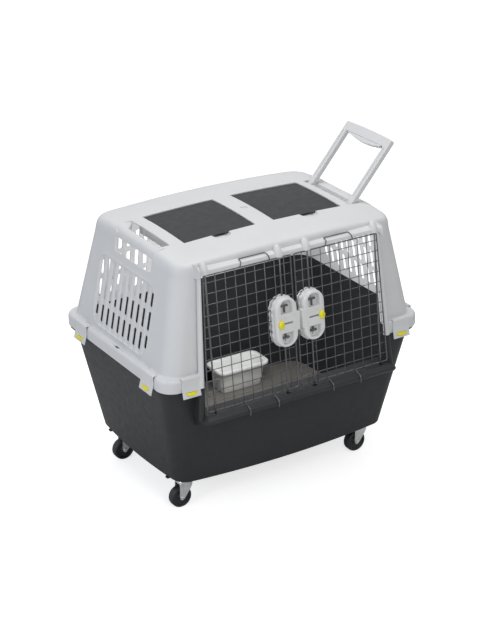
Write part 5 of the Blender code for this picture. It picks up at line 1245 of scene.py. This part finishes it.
class CRATE_OT_casters(CratePiece, bpy.types.Operator):
    """Swivel casters: plate, pressed fork, axle and hollow wheel"""
    bl_idname = "crate.casters"
    bl_label = "Casters"

    def execute(self, context):
        for tag, sx, sy in CORNERS:
            x, y = SHELL_X + sx * CASTER_X, sy * CASTER_Y
            wx, hub = x - WHEEL_TRAIL, GROUND_Z + WHEEL_R
            half = WHEEL_W / 2
            web = half - 0.0045
            rim = 0.0062
            prof = [(0.0040, -half + 0.001), (0.0095, -half + 0.001), (0.0110, -half + 0.0025), (0.0118, -web),
                    (WHEEL_R - rim - 0.001, -web), (WHEEL_R - rim, -web - 0.001), (WHEEL_R - rim, -half + 0.0006),
                    (WHEEL_R - rim + 0.0006, -half), (WHEEL_R - 0.0035, -half), (WHEEL_R - 0.0015, -half + 0.0008),
                    (WHEEL_R - 0.0004, -half + 0.0025), (WHEEL_R, -half + 0.0050)]
            prof += [(r, -h) for r, h in reversed(prof)]
            spin = lambda a, b, h: np.stack([wx + a, y + h, hub + b], -1)
            ob = new_piece(tag + "_roller", skin(revolve(prof, 56, spin), closed=True), 35)
            dress(ob, "wheel_plastic", tag + "_wheel", [tag + "_caster_wheel"])

            plate_low = BOTTOM_Z - GAP - 0.0040
            crown_top = GROUND_Z + WHEEL_R * 2 + 0.0115
            side_in = WHEEL_W / 2 + 0.0012
            side_out = side_in + 0.0022
            parts = []
            for s in SIDES:
                corners = np.array([(wx - 0.0055, hub - 0.0060), (wx + 0.0020, hub - 0.0085),
                                    (wx + 0.0095, hub - 0.0010), (x + 0.0205, crown_top - 0.0110),
                                    (x + 0.0210, crown_top - 0.001), (x - 0.0170, crown_top - 0.001),
                                    (wx - 0.0078, hub + 0.002)])
                start = corners[-1:] * 0.5 + corners[-2:-1] * 0.5
                tip = bent(np.vstack([start, corners[-1:], corners[:5]]), 0.0035, 4)
                outline = np.vstack([tip, corners[5:6]])
                d0, d1 = sorted((y + s * side_in, y + s * side_out))
                rows = [(0.0003, d0), (0, d0 + 0.0003), (0, d1 - 0.0003), (0.0003, d1)]
                parts.append(slab(outline, rows, along_y))
            top = rounded_rectangle(0.038, 2 * side_out, 0.003, 3) + [x + 0.002, y]
            rows = [(0, crown_top - 0.0022), (0, crown_top - 0.0006), (0.0006, crown_top)]
            parts.append(slab(top, rows, along_z))
            race = [(0.0185, crown_top - 0.0005), (0.0185, crown_top + 0.0040),
                    (0.0165, crown_top + 0.0065), (0.0150, plate_low - GAP)]
            parts.append(skin(revolve(race, 36, lambda a, b, h: np.stack([x + a, y + b, h], -1))))
            ob = new_piece(tag + "_fork", merge(parts), 35)
            dress(ob, "plated_steel", tag + "_swivel", [tag + "_caster_fork"])
            out = side_out + 0.0018
            head = [(0.0030, out + 0.0006), (0.0044, out), (0.0050, side_out + GAP), (0.0035, side_out + GAP)]
            axle = [(r, -h) for r, h in head] + head[::-1]
            ob = new_piece(tag + "_axle", skin(revolve(axle, 24, spin)), 35)
            dress(ob, "plated_steel", tag + "_swivel", [tag + "_caster_axle"])
            foot = rounded_rectangle(0.058, 0.058, 0.006, 4) + [x, y]
            lug_x = sorted((x + sx * 0.025, SHELL_X + sx * (BOTTOM_HALF_X + 0.003)))
            lug = rounded_rectangle(lug_x[1] - lug_x[0], 0.012, 0.002, 3) + [sum(lug_x) / 2, y]
            rows = [(0.0004, plate_low), (0, plate_low + 0.0004), (0, BOTTOM_Z - GAP)]
            ob = new_piece(tag + "_plate", slab(foot, rows, along_z))
            carve(ob, [("UNION", slab(lug, rows, along_z))], 30)
            dress(ob, "wheel_plastic", "crate", [tag + "_caster_plate"])
        return {"FINISHED"}


class CRATE_OT_stage(bpy.types.Operator):
    """Plain pale floor, soft studio lamps, white surround and the camera"""
    bl_idname = "crate.stage"
    bl_label = "Stage"

    def execute(self, context):
        scene = context.scene
        scene.view_settings.view_transform = "Standard"
        s = scene.crate_stage
        size = 14.0                     # half side of the floor
        floor = bpy.data.meshes.new("studio_floor")
        corners = [(-size, -size, 0), (size, -size, 0), (size, size, 0), (-size, size, 0)]
        floor.from_pydata(corners, [], [(0, 1, 2, 3)])
        ob = bpy.data.objects.new("studio_floor", floor)
        scene.collection.objects.link(ob)
        mat, tree, shader, new = shader_nodes("studio_floor")
        shader.inputs["Base Color"].default_value = (0.80, 0.80, 0.80, 1)
        shader.inputs["Roughness"].default_value = 0.9
        shader.inputs["Specular IOR Level"].default_value = 0.0
        path = new("ShaderNodeLightPath")
        glow = new("ShaderNodeEmission")
        add = new("ShaderNodeAddShader")
        scale = new("ShaderNodeMath")
        scale.operation = "MULTIPLY"
        scale.inputs[1].default_value = s.floor_lift
        link(tree, path, "Is Camera Ray", scale, 0)
        link(tree, scale, "Value", glow, "Strength")
        link(tree, shader, "BSDF", add, 0)
        link(tree, glow, "Emission", add, 1)
        link(tree, add, "Shader", tree.nodes["Material Output"], "Surface")
        floor.materials.append(mat)
        ob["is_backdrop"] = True

        world = bpy.data.worlds.new("studio_surround")
        scene.world = world
        world.use_nodes = True
        tree = world.node_tree
        base = tree.nodes["Background"]
        base.inputs["Color"].default_value = (0.97, 0.98, 1.0, 1)
        base.inputs["Strength"].default_value = s.surround
        white = tree.nodes.new("ShaderNodeBackground")
        white.inputs["Strength"].default_value = 1.0
        mix = tree.nodes.new("ShaderNodeMixShader")
        path = tree.nodes.new("ShaderNodeLightPath")
        most = tree.nodes.new("ShaderNodeMath")
        most.operation = "MAXIMUM"
        more = tree.nodes.new("ShaderNodeMath")
        more.operation = "MAXIMUM"
        link(tree, path, "Is Camera Ray", most, 0)
        link(tree, path, "Is Glossy Ray", most, 1)
        link(tree, most, "Value", more, 0)
        link(tree, path, "Is Transmission Ray", more, 1)
        link(tree, more, "Value", mix, 0)
        link(tree, base, "Background", mix, 1)
        link(tree, white, "Background", mix, 2)
        link(tree, mix, "Shader", tree.nodes["World Output"], "Surface")

        lamps = [("key_lamp", (-0.7, -2.6, 2.35), s.key, 1.3, (1.0, 0.99, 0.97)),
                 ("top_lamp", (0.1, 0.3, 3.4), s.top, 2.2, (1.0, 1.0, 1.0)),
                 ("side_lamp", (-3.0, -0.8, 1.6), s.side, 1.6, (0.86, 0.91, 1.0))]
        for name, spot, power, width, tint in lamps:
            lamp = bpy.data.lights.new(name, "AREA")
            lamp.shape, lamp.size, lamp.energy, lamp.color = "DISK", width, power, tint
            ob = bpy.data.objects.new(name, lamp)
            ob.location = spot
            aim = np.array([0.0, 0.0, 0.35]) - np.array(spot)
            flat = math.hypot(aim[0], aim[1])
            ob.rotation_euler = (math.atan2(flat, -aim[2]), 0.0, math.atan2(-aim[0], aim[1]))
            scene.collection.objects.link(ob)
        cabin = bpy.data.lights.new("cabin_fill", "POINT")
        cabin.energy, cabin.shadow_soft_size = s.cabin, 0.12
        ob = bpy.data.objects.new("cabin_fill", cabin)
        ob.location = np.array([0.0, -0.06, 0.54]) + OFFSET
        ob.visible_camera = ob.visible_glossy = False
        scene.collection.objects.link(ob)

        view = bpy.data.cameras.new("photo_camera")
        view.sensor_width, view.lens, view.sensor_fit = 36.0, 100.18, "AUTO"
        view.clip_end = 60.0
        cam = bpy.data.objects.new("photo_camera", view)
        cam.location = (-2.3327 + OFFSET[0], -3.6577 + OFFSET[1], 2.4106 + OFFSET[2])
        cam.rotation_euler = (math.radians(90 - 24.4383), 0.0, math.radians(-32.8137))
        scene.collection.objects.link(cam)
        scene.camera = cam
        return {"FINISHED"}


class CrateFinish(bpy.types.PropertyGroup):
    """Colours of the crate's materials."""
    hood: FloatVectorProperty(name="Hood", description="Light grey of the hood, clips and handle", subtype="COLOR",
                              size=3, min=0, max=1, default=srgb(214, 215, 216))
    latch: FloatVectorProperty(name="Latches", description="Pale grey of the latch housings", subtype="COLOR",
                               size=3, min=0, max=1, default=srgb(222, 223, 222))
    tub: FloatVectorProperty(name="Lower shell", description="Anthracite of the lower shell", subtype="COLOR",
                             size=3, min=0, max=1, default=srgb(44, 45, 47))
    lid: FloatVectorProperty(name="Lids", description="Dark grey of the roof lids", subtype="COLOR",
                             size=3, min=0, max=1, default=srgb(47, 49, 50))
    floor: FloatVectorProperty(name="Floor", description="Warm grey of the floor panel", subtype="COLOR",
                               size=3, min=0, max=1, default=srgb(120, 117, 112))
    button: FloatVectorProperty(name="Buttons", description="Yellow of the knobs and buttons", subtype="COLOR",
                                size=3, min=0, max=1, default=srgb(238, 226, 40))
    bowl: FloatVectorProperty(name="Bowl", description="White of the food bowl", subtype="COLOR",
                              size=3, min=0, max=1, default=srgb(243, 243, 241))
    wheel: FloatVectorProperty(name="Wheels", description="Black of the wheels and plates", subtype="COLOR",
                               size=3, min=0, max=1, default=srgb(48, 49, 51))
    wire: FloatVectorProperty(name="Wire", description="Dark steel of the doors", subtype="COLOR",
                              size=3, min=0, max=1, default=srgb(112, 113, 114))
    zinc: FloatVectorProperty(name="Plated steel", description="Zinc of the forks and pins", subtype="COLOR",
                              size=3, min=0, max=1, default=srgb(226, 228, 227))


class CrateStage(bpy.types.PropertyGroup):
    """Light levels of the stage."""
    key: FloatProperty(name="Key lamp", description="Power of the lamp at the front left",
                       default=21.0, min=0, unit="POWER")
    top: FloatProperty(name="Top lamp", description="Power of the lamp above", default=44.0, min=0, unit="POWER")
    side: FloatProperty(name="Side lamp", description="Power of the bluish lamp at the left",
                        default=22.0, min=0, unit="POWER")
    cabin: FloatProperty(name="Cabin fill",
                         description="Power of the soft light inside, in place of what the hood lets in",
                         default=3.3, min=0, unit="POWER")
    surround: FloatProperty(name="Surround", description="Strength of the even light from all round",
                            default=0.36, min=0)
    floor_lift: FloatProperty(name="Floor lift", description="Brightness added to the floor for the camera",
                              default=0.70, min=0)


OPERATORS = (CRATE_OT_tub, CRATE_OT_hood, CRATE_OT_doors, CRATE_OT_latches, CRATE_OT_clips, CRATE_OT_lids,
             CRATE_OT_handle, CRATE_OT_floor, CRATE_OT_casters, CRATE_OT_stage)


class CRATE_PT_panel(bpy.types.Panel):
    """Buttons that build the crate, with its colours and light"""
    bl_idname = "CRATE_PT_panel"
    bl_label = "Dog Travel Crate"
    bl_space_type = "VIEW_3D"
    bl_region_type = "UI"
    bl_category = "Crate"

    def draw(self, context):
        for op in OPERATORS:
            self.layout.operator(op.bl_idname)
        for group in (context.scene.crate_finish, context.scene.crate_stage):
            box = self.layout.box()
            for key in group.__annotations__:
                box.prop(group, key)


CLASSES = (CrateFinish, CrateStage) + OPERATORS + (CRATE_PT_panel,)


def register():
    for cls in CLASSES:
        bpy.utils.register_class(cls)
    bpy.types.Scene.crate_finish = PointerProperty(type=CrateFinish)
    bpy.types.Scene.crate_stage = PointerProperty(type=CrateStage)


def unregister():
    del bpy.types.Scene.crate_stage
    del bpy.types.Scene.crate_finish
    for cls in reversed(CLASSES):
        bpy.utils.unregister_class(cls)


def main():
    register()
    for op in OPERATORS:
        group, name = op.bl_idname.split(".")
        getattr(getattr(bpy.ops, group), name)()
    plain = lambda box: [[float(c) for c in corner] for corner in box]
    {"cad": plain(CAD_BOX), "visual": plain(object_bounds())}


if __name__ == "__main__":
    main()
